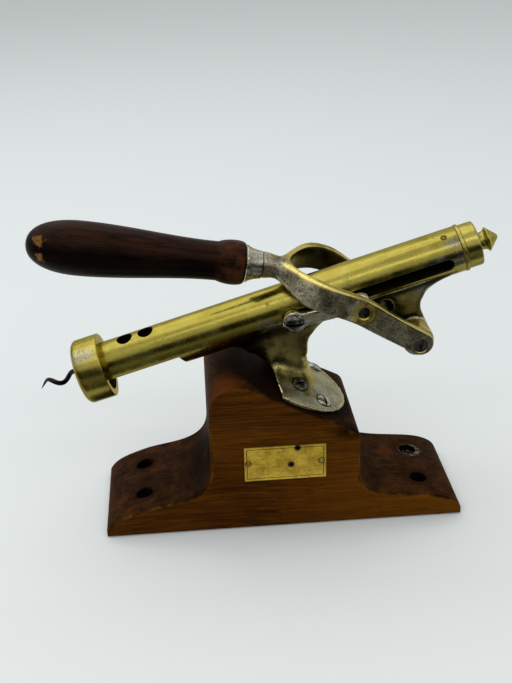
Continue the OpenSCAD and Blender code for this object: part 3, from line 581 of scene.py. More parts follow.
def aged_metal(name, bright, dull, nickel=0.0, nickel_spots=(), halos=(), pits=0.5, patina=0.4, dark="3d3517",
               rough=0.26, depth=0.09, grain=(9, 260, 260), waves=0.0, cast=False, edge="cdb968",
               silver=("76715f", "b3ad9a"), speckle=0.55, seed=0.0, own=True):
    """Worn brass with streaks, stains, pits, painted shade on the underside and remains of nickel plate.

    nickel_spots and halos are (x, y, z, radius) in mm: ragged plate, and a dark ring round a screw or pin.
    A cast piece carries the point masks relief, plating and painted_shade.
    """
    s = Shader(name, own)
    shift = (seed, seed * 0.7, seed * 1.3)
    free = s.stretch(shift=shift)
    cloud = s.noise(free, 26, 5, 0.6)
    tone = s.noise(free, 95, 6, 0.65)
    speck = s.noise(free, 640, 3, 0.6)
    streak = s.grain(grain, 5, 0.6, shift)
    scratch = s.grain(tuple(4.5 * g for g in grain), 3, 0.7, shift)
    upward = s.normal_axes()["Z"]
    s.colour = s.tint(s.weigh((tone, 0.4), (streak, 0.35), (cloud, 0.25)), 0.4, 0.6, dull, bright)
    tarnish = s.span(s.weigh((cloud, 0.55), (tone, 0.45)), 0.6 - 0.2 * patina, 0.76 - 0.2 * patina)
    s.stain(tarnish, min(1.0, 0.3 + patina), dark)
    # Painted shade: darker on faces that turn downwards
    s.stain(s.span(upward, 0.05, -0.65), 0.35 + 0.4 * patina, "2c260f")
    plate = 0.0
    if cast:
        stands = s.plus(s.mask("relief"), s.times(s.plus(streak, -0.5), 0.6))
        worn = s.times(s.span(stands, 0.14, 0.5), s.span(upward, 0.05, 0.65))
        worn = s.times(worn, s.span(cloud, 0.34, 0.5))
        plate = s.plus(s.mask("plating"), s.weigh((tone, 1.2), (cloud, 0.8), (1.0, -1.0)))
        plate = s.times(s.span(plate, 0.3, 0.7), s.rest(worn))
    elif nickel:
        plate = s.span(s.weigh((tone, 0.6), (cloud, 0.4)), 0.7 - 0.3 * nickel, 0.8 - 0.3 * nickel)
    ragged = s.weigh((tone, 1.5), (streak, 1.1), (cloud, 0.8), (1.0, -1.7)) if nickel_spots else 0.0
    for x, y, z, radius in nickel_spots:
        spot = s.plus(s.near((x, y, z), radius, 0.0, (0.6, 1, 1)), ragged)
        plate = s.most(plate, s.span(spot, 0.35, 0.9, 0.0, 0.75))
    plated = s.tint(s.weigh((tone, 0.5), (streak, 0.5)), 0.38, 0.62, *silver)
    plated = s.stained(plated, s.span(speck, 0.5, 0.62), speckle, "4a4330")
    s.colour = s.mix(plate, s.colour, plated)
    if cast:
        s.stain(worn, 0.85, edge)
        s.stain(s.span(stands, -0.1, -0.5), 0.85, "17130a")
        # Darker where the painted_shade mask lies, broken up by noise: painted shade with some dirt
        dirt_and_shade = s.plus(s.mask("painted_shade"), s.weigh((tone, 0.5), (cloud, 0.5), (1.0, -0.5)))
        s.stain(s.span(dirt_and_shade, 0.25, 0.75), 0.9, "16140b")
    dots = s.span(s.cells(free, 420), 0.22, 0.08)
    pit = s.times(dots, s.span(s.noise(free, 60, 3, 0.6), 0.62 - 0.26 * pits, 0.74 - 0.2 * pits))
    s.stain(pit, 0.85, "211a0c")
    blot = s.times(s.span(s.cells(free, 75), 0.1, 0.04), s.span(cloud, 0.5 - 0.2 * pits, 0.6))
    s.stain(blot, 0.7, "4a3413")
    for x, y, z, radius in halos:
        s.stain(s.near((x, y, z), radius, 0.85), 0.85, "100d06")
    dull_spots = s.most(tarnish, s.most(pit, blot))
    roughness = s.plus(s.span(tone, 0.3, 0.7, rough - 0.05, rough + 0.07), s.times(dull_spots, 0.12))
    height = s.weigh((scratch, 0.35), (tone, 0.5), (speck, 0.3), (pit, -0.7), (blot, -0.4))
    normal = s.bump(height, depth)
    if waves:
        normal = s.bump(s.grain((14, 34, 34), 2, 0.5, shift), waves, normal)
    return s.finish(Metallic=1.0, Roughness=roughness, Normal=normal, Specular_Tint=(0.8, 0.74, 0.55, 1.0))


def mahogany():
    """Old varnished plinth wood: fine grain along x, dark crackled tops, a painted highlight on the shoulder,
    dirt and painted shade in corners, holes painted black as shade.
    """
    s = Shader("mahogany")
    x, y, z = s.axes(s.place)
    side, upward = s.normal_axes()[1:]
    free = s.stretch()
    cloud = s.grain((9, 30, 30), 5, 0.6)
    blot = s.noise(free, 85, 6, 0.7)
    sway = s.times(s.grain((5, 18, 18), 3, 0.5), 0.02)
    bent = s.node("CombineXYZ", {"X": x, "Y": s.plus(y, sway), "Z": s.plus(z, sway)}).outputs[0]
    fibre = s.grain((15, 620, 620), 6, 0.7, where=bent)
    thread = s.grain((20, 1300, 1300), 4, 0.65, where=bent)
    s.colour = s.tint(s.weigh((fibre, 0.45), (thread, 0.3), (cloud, 0.25)), 0.36, 0.66, "281404", "5c340a")
    s.stain(s.span(x, -0.02, 0.11), s.times(cloud, 0.7), "6d430b")
    s.stain(s.span(s.grain((11, 210, 210), 5, 0.65, where=bent), 0.54, 0.72), 0.5, "1c0c03")
    pore = s.span(s.grain((60, 2100, 2100), 2, 0.5, where=bent), 0.6, 0.7)
    s.stain(pore, 0.55, "190b03")
    # Tops
    top = s.span(upward, 0.3, 0.85)
    aged = s.tint(s.weigh((fibre, 0.4), (blot, 0.6)), 0.38, 0.62, "170c06", "3e2612")
    aged = s.stained(aged, s.span(s.noise(free, 44, 5, 0.6), 0.52, 0.68), 0.7, "512b10")
    crackle = s.span(s.cells(s.stretch((190, 120, 190)), 1, "DISTANCE_TO_EDGE"), 0.045, 0.0)
    aged = s.stained(aged, s.times(crackle, s.span(blot, 0.4, 0.55)), 0.75, "0d0604")
    s.colour = s.mix(s.times(top, 0.92), s.colour, aged)
    # Rounded edges
    edge = s.times(s.math("ABSOLUTE", side), s.math("SQRT", s.rest(s.times(side, side))))
    edge = s.span(edge, 0.25, 0.5)
    s.stain(s.times(edge, s.span(blot, 0.5, 0.62)), 0.45, "74481c")
    s.stain(s.times(edge, s.span(blot, 0.48, 0.36)), 0.7, "1a0b04")
    # Holes: darker round them, and painted black inside as shade, with a crust round one of them
    for hole in [(x_sign * HOLE_X, y_sign * HOLE_Y, 0) for x_sign in (-1, 1) for y_sign in (-1, 1)]:
        s.stain(s.times(s.near(hole, 15, 0.4, (1, 1, 0)), s.span(blot, 0.38, 0.6)), 0.8, "150a06")
        s.stain(s.near(hole, HOLE_R + 1.5, 0.9, (1, 1, 0)), 0.96, "080504")
    crust = s.times(s.near((HOLE_X + 1.5, HOLE_Y - 1, REAR_FOOT_H), 9, 0.8),
                    s.rest(s.near((HOLE_X, HOLE_Y, REAR_FOOT_H), 6.6, 0.9)))
    s.stain(s.times(crust, s.span(s.noise(free, 520, 5, 0.7), 0.44, 0.6)), 0.75, "837c66")
    # A painted highlight on the shoulder's top, and dirt and painted shade round the flange and in the
    # corners
    s.stain(s.near((-40, -36, PED_TOP - 6), 20, 0.2, (1, 0.7, 1)), s.times(top, 0.6), "6e3812")
    flange = ON_SEAT @ Vector((FLANGE_MID * MM, 0, 0)) / MM
    dirt_and_shade = s.most(s.near(flange, FLANGE_R + 10, 0.86), s.near((-14, -8, PED_TOP), 31, 0.35))
    dirt_and_shade = s.times(dirt_and_shade, s.span(upward, 0.1, 0.6))
    dirt_and_shade = s.most(dirt_and_shade, s.near((46, -HALF_DEPTH, 71), 15, 0.2, (0.6, 1, 1.4)))
    dirt_and_shade = s.most(dirt_and_shade, s.near((-PED_FRONT - 2, 0, FOOT_H + 16), 26, 0.3, (1, 0.5, 1)))
    s.stain(s.times(dirt_and_shade, s.span(blot, 0.24, 0.5)), 0.85, "0e0704")
    height = s.weigh((fibre, 0.4), (thread, 0.4), (pore, -0.7), (s.times(crackle, top), -0.8))
    return s.finish(Roughness=s.span(cloud, 0.3, 0.7, 0.46, 0.62), Specular_IOR_Level=0.01,
                    Specular_Tint=(1.0, 0.75, 0.5, 1.0), Normal=s.bump(height, 0.12))


def handle_wood():
    """Very dark varnish, painted lighter and reddish on the upper side as light and near black below as
    shade, worn reddish on the bead and to bare wood at the end.
    """
    s = Shader("handle_wood", own=True)
    axes = s.axes(s.place)
    x, z = axes["X"], axes["Z"]
    fibre = s.grain((9, 420, 420), 6, 0.68)
    thread = s.grain((30, 1300, 1300), 3, 0.6)
    cloud = s.grain((16, 50, 50), 5, 0.6)
    chip = s.noise(s.stretch(shift=(5, 2, 4)), 120, 5, 0.65, 0.5)
    s.colour = s.tint(s.weigh((fibre, 0.6), (cloud, 0.4)), 0.4, 0.64, "060303", "130906")
    # Painted light and shade: the upper side lighter and reddish, the underside near black
    lit_upper_side = s.span(s.weigh((z, HANDLE_UP), (cloud, 0.012)), 0.007, 0.018)
    warm = s.tint(s.weigh((fibre, 0.55), (thread, 0.45)), 0.42, 0.6, "140906", "341a0f")
    s.colour = s.mix(s.times(lit_upper_side, 0.9), s.colour, warm)
    s.stain(s.span(thread, 0.58, 0.7), 0.6, "070303")
    s.stain(s.times(s.span(x, 0.033, 0.02), s.span(chip, 0.36, 0.62)), 0.6, "4a2714")
    s.stain(s.span(x, (FERRULE_LEN + 2.2) * MM, (FERRULE_LEN + 0.8) * MM), 0.9, "070404")
    bare = 0.0
    end = FERRULE_LEN + HANDLE_LEN
    flake = s.weigh((chip, 1.3), (s.noise(s.stretch(), 420, 4, 0.7), 2.2), (1.0, -1.8))
    for px, py, pz, radius in ((end - 8, -11, 7, 8), (end - 10, -13.5, -3.5, 6)):
        spot = s.plus(s.near((px, py * HANDLE_REAR, pz * HANDLE_UP), radius, 0.1), flake)
        bare = s.most(bare, s.span(spot, 0.42, 0.75))
    s.stain(bare, 0.85, "7d5526")
    roughness = s.plus(s.span(cloud, 0.3, 0.7, 0.3, 0.42), s.times(bare, 0.25))
    height = s.weigh((fibre, 0.4), (thread, 0.3), (bare, -0.7))
    return s.finish(Roughness=roughness, Specular_IOR_Level=0.06, Specular_Tint=(1.0, 0.8, 0.65, 1.0),
                    Normal=s.bump(height, 0.1))


def dark_steel(name, light, dark, rust="3a2a1a", seed=0.0, verdigris=0.0, rough=0.36):
    """Darkened steel with scratches and a little rust or verdigris."""
    s = Shader(name)
    free = s.stretch(shift=(seed, seed, seed))
    tone = s.noise(free, 220, 6, 0.65)
    scratch = s.grain((900, 120, 900), 3, 0.6, (seed, 0, 0))
    s.colour = s.tint(tone, 0.34, 0.68, dark, light)
    s.stain(s.span(s.noise(free, 330, 5, 0.7, 0.5), 0.52, 0.7), 0.6, rust)
    metallic = 1.0
    if verdigris:
        green = s.span(s.noise(free, 260, 5, 0.65), 0.62 - 0.2 * verdigris, 0.72 - 0.1 * verdigris)
        s.stain(green, 0.8, "4f6152")
        metallic = s.rest(green)
    return s.finish(Metallic=metallic, Roughness=s.span(tone, 0.3, 0.7, rough - 0.06, rough + 0.14),
                    Normal=s.bump(s.weigh((tone, 0.7), (scratch, 0.3)), 0.05))


def flush_pin(name, pin, core, rim):
    """A brass pin filed flush with the barrel: a dark joint round its end."""
    s = Shader(name)
    tone = s.noise(s.stretch(), 500, 5, 0.65)
    s.colour = s.tint(tone, 0.36, 0.64, core, "8a7738")
    point = ON_AXIS @ (on_barrel(pin) * MM) / MM
    s.stain(s.rest(s.near(point, SMALL_PIN_R * 1.1, 0.62)), 0.9, rim)
    return s.finish(Metallic=1.0, Roughness=s.span(tone, 0.3, 0.7, 0.3, 0.5), Normal=s.bump(tone, 0.05))


def sheet_brass():
    """Lacquered brass sheet with fine brushing, dark dents and tarnish in its border line."""
    s = Shader("sheet_brass")
    face = HALF_DEPTH + PLATE_T
    free = s.stretch()
    brush = s.grain((60, 60, 1600), 3, 0.6)
    tone = s.noise(free, 90, 6, 0.65)
    mottle = s.noise(free, 420, 4, 0.65)
    s.colour = s.tint(s.weigh((tone, 0.5), (brush, 0.2), (mottle, 0.3)), 0.38, 0.62, "b58f22", "ecc94a")
    s.stain(s.span(mottle, 0.6, 0.72), 0.6, "5c4714")
    dent = s.span(s.cells(free, 330), 0.2, 0.07)
    dent = s.times(dent, s.span(s.noise(s.stretch(shift=(2, 2, 2)), 110, 3), 0.48, 0.62))
    s.stain(dent, 0.7, "4a3a14")
    for px, pz in PLATE_PINS:
        s.stain(s.near((px * PLATE_W, -face, PLATE_Z + pz * PLATE_H), 2.6, 0.7), 0.9, "1c150a")
    sunk = s.span(s.axes(s.place)["Y"], -(face - 0.03) * MM, -(face - 0.12) * MM)
    s.stain(sunk, 0.85, "33270b")
    height = s.weigh((tone, 0.6), (brush, 0.25), (mottle, 0.4), (dent, -1.0))
    return s.finish(Metallic=0.55, Roughness=s.span(tone, 0.3, 0.7, 0.3, 0.44), Normal=s.bump(height, 0.12))


SCREW_HALOS = [tuple(screw_place(*spot).translation / MM) + (6.4,) for spot in FLANGE_SCREWS]
BARREL = aged_metal("barrel_brass", "ac9f4b", "928537", pits=0.55, patina=0.22, rough=0.24, depth=0.014,
                    waves=0.08, halos=[tuple(on_barrel(CAP_PIN)) + (2.3,)],
                    nickel_spots=((121, -11, 10, 9), (119, -14, 0, 10), (106, -14.5, 1, 10),
                                  (-8, -14, -4, 11), (-108, -9, -12, 14)))
BELL = aged_metal("bell_brass", "b4a450", "8e7e35", pits=0.8, patina=0.35, rough=0.25, depth=0.04, waves=0.1,
                  nickel_spots=((-132, -12, 16, 13), (-125, -8, -19, 10)), silver=("857f64", "aba488"),
                  seed=1.7)
CAP = aged_metal("cap_brass", "bdb05c", "938840", nickel=0.35, pits=0.4, rough=0.24, seed=2.9)
# Near-black metal for the insides of bores, holes and slots: painted shade
BORE_SHADE = aged_metal("bore_painted_shade", "161208", "0a0805", pits=0.6, patina=0.9, dark="060503", rough=0.5, seed=4.1)
# Darker brass for insides and inner parts: tarnish, darkened further as painted shade
INNER = aged_metal("inner_brass", "6d5f30", "453a1b", pits=0.6, patina=0.8, rough=0.42, seed=4.4, own=False)
BRACKET = aged_metal("bracket_metal", "b9aa66", "6b623a", pits=0.7, patina=0.5, dark="2b2815", rough=0.27,
                     depth=0.2, grain=(120, 120, 120), cast=True, edge="c9bf96", silver=("82806f", "b4b1a1"),
                     speckle=0.4, halos=SCREW_HALOS, seed=3.3)
FORK = aged_metal("fork_metal", "b8a65e", "7a6c3a", pits=0.9, patina=0.5, dark="332b15", rough=0.3, depth=0.2,
                  grain=(110, 110, 110), cast=True, edge="dcc978", silver=("7c765e", "b8b197"), speckle=0.75,
                  seed=5.2)
RING = aged_metal("ring_brass", "c4ad58", "93803a", pits=0.4, patina=0.5, grain=(200, 60, 200), seed=6.0)
FERRULE = aged_metal("ferrule_nickel", "a89a6c", "7d714c", nickel=0.98, patina=0.3, rough=0.22,
                     silver=("8f8b7c", "cdc9bb"), speckle=0.35, seed=7.4)
LINK = aged_metal("link_nickel", "b0a066", "8d8050", nickel=1.15, patina=0.3, rough=0.18,
                  grain=(40, 240, 240), silver=("a59c80", "e0dccd"), speckle=0.4, seed=8.8)
WOOD = mahogany()
HANDLE = handle_wood()
STEEL = dark_steel("pin_steel", "6a6965", "191817")
SCREW_DARK = dark_steel("screw_dark", "5a5648", "1b1913", "3b3320", 1.1, verdigris=0.9)
SCREW_BRIGHT = dark_steel("screw_bright", "d3cdbd", "8d8677", "5a5040", 2.3, rough=0.24)
LINK_SCREW = dark_steel("link_screw_steel", "a3a097", "3a3836", "3f3526", 3.7, rough=0.22)
WORM_STEEL = dark_steel("worm_steel", "33312f", "0e0d0d", "241b13", 4.9)
PIN_BRASS = dark_steel("plate_pin_brass", "d0b354", "8a7130", "3a2c10", 5.5)
PIN_BLACK = dark_steel("plate_pin_black", "2a2825", "0d0c0b", "1d1710", 6.5)
CAP_PIN_BRASS = flush_pin("cap_pin_brass", CAP_PIN, "5f4f26", "1d160a")
NUT_PIN_BRASS = flush_pin("nut_pin_brass", NUT_PIN, "a08e45", "75652f")
PLATE = sheet_brass()


# Barrel: a clean tube with its window, slots, vents and pin holes
def make_barrel():
    tube = soft([(BARREL_FORE, BORE_R, 0.3), (BARREL_FORE, BARREL_R, 0.3), (BARREL_AFT, BARREL_R, 0.3),
                 (BARREL_AFT, BORE_R, 0.3)], closed=True, steps=2)
    barrel = lathe("barrel", tube, ON_AXIS, 180, closed=True)
    past, before = BARREL_R + 1, BARREL_FORE - 4
    side, through = ON_AXIS @ turn(90, "X"), [(0, -past), (0, past)]
    window = stack("cutter", [(before, -WINDOW_DROP), (WINDOW_END, -WINDOW_DROP),
                              (WINDOW_END + WINDOW_LEAN, -past), (before, -past)], through, side)
    slot = stack("cutter", tidy(arc((SLOT_FROM + SLOT_HALF, SLOT_N), SLOT_HALF, 90, 270)
                                + arc((SLOT_TO - SLOT_HALF, SLOT_N), SLOT_HALF, -90, 90)), through, side)
    holes = [rod_cutter(VENT_R, 0, past, ON_AXIS @ move(s, 0, 0) @ turn(VENT_TURN, "X")) for s in VENT_PLACES]
    holes += [rod_cutter(SMALL_PIN_R + SEAT_GAP, 0, past, ON_AXIS @ move(s, 0, 0) @ turn(w, "X"), 24)
              for s, w in (NUT_PIN, CAP_PIN)]
    cut(barrel, window, slot, *holes, rim=0.45)
    piece(barrel, "frame", "brass", [BARREL, BORE_SHADE], "barrel_casting")
    # The bore's inner faces take the near-black finish: painted shade
    second_finish(barrel, reach(middles(barrel, ON_AXIS), axes=(1, 2)) < BARREL_R - 0.6)


# Bracket: neck, flange and strut under the barrel, with cast fillets
def make_flare():
    """The neck's root as it runs out over the flange."""
    places, shares = np.linspace(FLANGE_EDGE + 0.4, FLARE_END, 36), np.linspace(1, 0, 15)
    verts = []
    for x in places:
        lean = FLARE_LEAN * (1 - ramp01(x, places[0], places[0] + FLARE_LEAN_LEN))
        half = [(x - lean * (1 - share) ** 1.3,) + flare_point(x, share)[:2] for share in shares]
        ring = [(x, half[0][1], 0.6)] + half
        verts += ring + [(at, -y, z) for at, y, z in reversed(ring)]
    return mesh_object("flare", verts, skin(len(places), len(verts) // len(places)), ON_SEAT)


def make_bracket():
    bracket = remeshed("bracket", "barrel_casting", BRACKET_VOXEL, make_flare())
    mesh = bracket.data
    pairs = gather(mesh.edges, "vertices", 2, np.int64)
    co = relaxed(gather(mesh.vertices, "co"), pairs, 4)
    along, seat = local(co, ON_AXIS), local(co, ON_SEAT)
    # Fillets at the barrel and at the flare's root
    near_barrel = 1 - ramp01(np.abs(reach(along, axes=(1, 2)) - BARREL_R), 3.5, 8)
    near_barrel = near_barrel * (along[:, 2] < -4)
    on_neck = (seat[:, 2] > 0.5) & (seat[:, 2] < FLARE_TOP + 12)
    from_rim = FLANGE_R - reach(seat, (FLANGE_MID, 0), (0, 1))
    inward = np.maximum(ramp01(seat[:, 0] - FLANGE_EDGE, 1, 5), ramp01(seat[:, 2] - FLANGE_T, 3, 6))
    near_flange = on_neck * ramp01(from_rim, 3, 7) * inward
    co = relaxed(co, pairs, 110, np.maximum(near_barrel, near_flange))
    co = relaxed(co, pairs, 220, near_flange * ramp01(seat[:, 2], FLANGE_T + 1, FLANGE_T + 4))
    co = relaxed(co, pairs, 3)
    reshape(mesh, co)
    along, seat = local(co, ON_AXIS), local(co, ON_SEAT)
    stands = relief(mesh, co, pairs, 30, 0.4)
    paint(mesh, "relief", np.where(seat[:, 2] < FLARE_TOP + 10, np.maximum(stands, 0), stands))
    # Plate left on the flange, round the eye and the strut's hole, and on the strut's tip
    flange = 0.55 + 0.4 * ramp01(seat[:, 0], 42, 58)
    flange = flange * (1 - ramp01(seat[:, 2], FLANGE_T + 2, FLANGE_T + 8))
    eye = 0.45 * (1 - ramp01(reach(along, (FULCRUM_S, FULCRUM_N)), 10, 20))
    hole = 0.9 * (1 - ramp01(reach(along, STRUT_HOLE), 5.2, 6.2))
    tip = along[:, 0] + along[:, 2]
    paint(mesh, "plating", np.max([flange, eye, hole, 0.8 * ramp01(tip, 62, 82)], 0))
    # Painted shade under the barrel, on the faces turned to the front and up the strut
    corner = 0.62 * (1 - ramp01(np.abs(reach(along, axes=(1, 2)) - BARREL_R), 1, 7))
    front = 0.5 * ramp01(-normals(mesh)[:, 0], 0.2, 0.9)
    strut = 0.6 * ramp01(along[:, 0], 40, 50) * (1 - ramp01(tip, 44, 66))
    paint(mesh, "painted_shade", np.max([corner, front, strut], 0))
    rod = rod_cutter(BARREL_R + 2 * SEAT_GAP, BELL_FRONT - 5, CAP_REAR, ON_AXIS @ turn(90, "Y"), 180)
    cut(bracket, rod, sharp=60, gap=FEATHER_WELD)
    drop_flaps(bracket.data)
    piece(bracket, "frame", "brass", BRACKET, "barrel_casting")


def make_bell():
    seat = BARREL_R + SEAT_GAP
    outside = soft([(BELL_REAR, seat, 0), (BELL_REAR, BELL_R, 1.0), (BELL_FRONT + LIP_R, BELL_R, 0)])
    lip = arc((BELL_FRONT + LIP_R, BELL_R - LIP_R), LIP_R, 90, 180, 14)
    inside = soft([(BELL_FRONT, MOUTH_R + 0.9, 0), (BELL_FRONT + 0.15, MOUTH_R, 0.8),
                   (BARREL_FORE, MOUTH_R, 0.3), (BARREL_FORE, seat, 0.2), (BELL_REAR, seat, 0)])
    bell = lathe("bell", tidy(outside + lip + inside), ON_AXIS, 160, closed=True)
    half = MOUTH_R - 0.6
    window = stack("cutter", tidy([(-half, -WINDOW_DROP), (-half, -6)]
                                  + arc((0, 0), MOUTH_R - SEAT_GAP, 200, 340, 40)
                                  + [(half, -6), (half, -WINDOW_DROP)]),
                   [(0, BARREL_FORE - 0.1), (0, BELL_REAR + 0.1)],
                   ON_AXIS @ Matrix(((0, 0, 1, 0), (1, 0, 0, 0), (0, 1, 0, 0), (0, 0, 0, 1))))
    cut(bell, window, rim=0.25)
    piece(bell, "frame", "brass", [BELL, INNER], "bell_mouth")
    # The mouth's inner faces take the darker inner brass: painted shade
    second_finish(bell, reach(middles(bell, ON_AXIS), axes=(1, 2)) < MOUTH_R + 0.3)


def make_cap():
    plug, bead = BARREL_AFT - CAP_PLUG, BARREL_AFT + CAP_BEAD
    outside = soft([(plug, CAP_PLUG_R, 0), (plug, BORE_R - SEAT_GAP, 0.3), (BARREL_AFT, BORE_R - SEAT_GAP, 0),
                    (BARREL_AFT, CAP_BEAD_R, 1.1), (bead, CAP_BEAD_R, 1.1), (bead, CAP_R - 0.35, 0.2),
                    (bead + 0.8, CAP_R, 0.3), (CAP_REAR, CAP_R, 1.6), (CAP_REAR, 0, 0)])
    piece(lathe("cap", [(plug, 0)] + outside, ON_AXIS), "frame", "brass", CAP, "end_cap")


def make_finial():
    def at(share):
        return CAP_REAR + FINIAL_LEN * share

    foot = FINIAL_NECK_R + 0.8
    profile = [(CAP_REAR - 1, 0), (CAP_REAR - 1, foot), (CAP_REAR + 0.6, foot)]
    profile += bez((CAP_REAR + 0.8, foot - 0.2), (CAP_REAR + 1.5, FINIAL_NECK_R - 0.6),
                   (at(0.36), FINIAL_NECK_R - 0.6), (at(0.45), FINIAL_R - 0.3), 12)
    profile += soft([(at(0.46), FINIAL_R - 0.1, 0), (at(0.49), FINIAL_R, 0.4), (at(1) - 0.5, 1.4, 0.8),
                     (at(1), 0, 0)])
    finial = lathe("finial_knob", tidy(profile), ON_AXIS, 96)
    across = ON_AXIS @ move(at(0.25), 0, 0) @ turn(90, "X")
    cut(finial, rod_cutter(FINIAL_HOLE_R, -FINIAL_R, FINIAL_R, across, 32), rim=0.15)
    piece(finial, "frame", "brass", CAP, "finial")


# Plinth
def plinth_outline():
    edge_x = PED_REAR - EDGE_R
    fall = math.radians(SEAT_FALL)
    edge_z = PED_TOP - (EDGE_R + (edge_x + SEAT_START) * math.sin(fall)) / math.cos(fall)
    points = [(HALF_LEN, 0), (-HALF_LEN, 0)]
    points += bez((-HALF_LEN, NOSE_H), (-HALF_LEN + 4, NOSE_H + 8), (-HOLE_X - 11, FOOT_H * 0.8),
                  (-HOLE_X, FOOT_H))
    points += bez((-HOLE_X, FOOT_H), (-PED_FRONT - 1.8 * COVE_R, FOOT_H + 5.5), (-PED_FRONT - 1, FOOT_H + 3),
                  (-PED_FRONT, FOOT_H + 1.7 * COVE_R), 28)
    points += arc((-PED_FRONT + SHOULDER_R, PED_TOP - SHOULDER_R), SHOULDER_R, 180, 90, 24)
    points += soft([(-SEAT_START - 4, PED_TOP, 0), (-SEAT_START, PED_TOP, 6),
                    (-SEAT_START + 12, PED_TOP - 12 * math.tan(fall), 0)])
    points += arc((edge_x, edge_z), EDGE_R, 90 - SEAT_FALL, 0, 12)
    points += bez((PED_REAR, REAR_FOOT_H + 1.1 * COVE_R), (PED_REAR + 2, REAR_FOOT_H + 3),
                  (PED_REAR + COVE_R, REAR_FOOT_H + 3), (HOLE_X, REAR_FOOT_H), 28)
    points += bez((HOLE_X, REAR_FOOT_H), (HOLE_X + 13, REAR_FOOT_H - 1.5), (HALF_LEN - 2, NOSE_H + 8),
                  (HALF_LEN, NOSE_H))
    return tidy(points)


def make_plinth():
    plinth = stack("plinth_block", plinth_outline(), rounded_levels(-HALF_DEPTH, HALF_DEPTH, 2.4, 6),
                   turn(90, "X"), sharp=40)
    cutters = []
    for x, top in ((-HOLE_X, FOOT_H), (HOLE_X, REAR_FOOT_H)):
        for y in (-HOLE_Y, HOLE_Y):
            profile = [(-1, 0), (-1, HOLE_R), (top - 2.2, HOLE_R), (top - 0.6, HOLE_R + 0.5),
                       (top + 1.5, HOLE_R + 2.2), (top + 9, HOLE_R + 2.2), (top + 9, 0)]
            cutters.append(lathe("cutter", profile, move(x, y, 0) @ turn(-90, "Y"), 48))
    cut(plinth, *cutters, sharp=40)
    piece(plinth, "frame", "mahogany", WOOD, "plinth")


def make_plate():
    half_w, half_h = PLATE_W / 2, PLATE_H / 2
    outline = [(-half_w, -half_h), (half_w, -half_h), (half_w, half_h), (-half_w, half_h)]
    levels = [(0, 0), (0, PLATE_T - 0.35), (0.12, PLATE_T - 0.1), (0.4, PLATE_T), (1.5, PLATE_T),
              (1.62, PLATE_T - 0.16), (2.0, PLATE_T - 0.16), (2.12, PLATE_T)]
    plate = stack("bare_plate", outline, levels, move(0, -HALF_DEPTH, PLATE_Z) @ turn(90, "X"), sharp=14)
    piece(plate, "frame", "plate_brass", PLATE, "name_plate")
    dome = [(-1, 0), (-1, 0.6), (0, 0.6)]
    dome += bez((0, PLATE_PIN_R), (0.35, PLATE_PIN_R), (PLATE_PIN_T, PLATE_PIN_R * 0.6), (PLATE_PIN_T, 0), 8)
    for i, (px, pz) in enumerate(PLATE_PINS):
        place = move(px * PLATE_W, -HALF_DEPTH - PLATE_T, PLATE_Z + pz * PLATE_H) @ turn(-90, "Z")
        pin = lathe(f"plate_pin_{i + 1}", dome, place, 32)
        piece(pin, "frame", "dark_steel", PIN_BRASS if i < 2 else PIN_BLACK, "plate_pins")


def slotted_screw(name, radius, height, place, slot_turn, body, finish, node):
    """A domed head on local z = 0, its screwdriver slot painted near black as shade."""
    dome = [(-2, 0), (-2, radius * 0.5), (0.02, radius * 0.5), (0.02, radius - 0.15), (0.2, radius)]
    dome += bez((0.35, radius), (height * 0.6, radius * 0.93), (height, radius * 0.5), (height, 0), 12)
    head = lathe(name, tidy(dome), place @ turn(-90, "Y"), 64)
    along = place @ turn(slot_turn, "Z")
    half, bottom = radius * 0.13, height * 0.42
    cut(head, box_cutter((-radius - 1, -half, bottom), (radius + 1, half, height + 1), along), rim=0.12)
    piece(head, body, "dark_steel", [finish, BORE_SHADE], node)
    faces = middles(head, along)
    second_finish(head, (np.abs(faces[:, 1]) < half + 0.01) & (faces[:, 2] > bottom - 0.05))


def make_screws():
    for i, spot in enumerate(FLANGE_SCREWS):
        slotted_screw(f"flange_screw_{i + 1}", FLANGE_HEAD_R, FLANGE_HEAD_T, screw_place(*spot),
                      FLANGE_SLOT_TURNS[i], "frame", (SCREW_DARK, SCREW_BRIGHT)[i % 2], "flange_screws")
    for side, name in SIDES:
        place = ON_AXIS @ move(CARRIAGE_S, side * (LINK_OUT + RUN_GAP), SLOT_N) @ turn(-90 * side, "X")
        slotted_screw(f"link_screw_{name}", LINK_HEAD_R, LINK_HEAD_T, place, LINK_SLOT_TURN, "carriage",
                      LINK_SCREW, "link_screws")


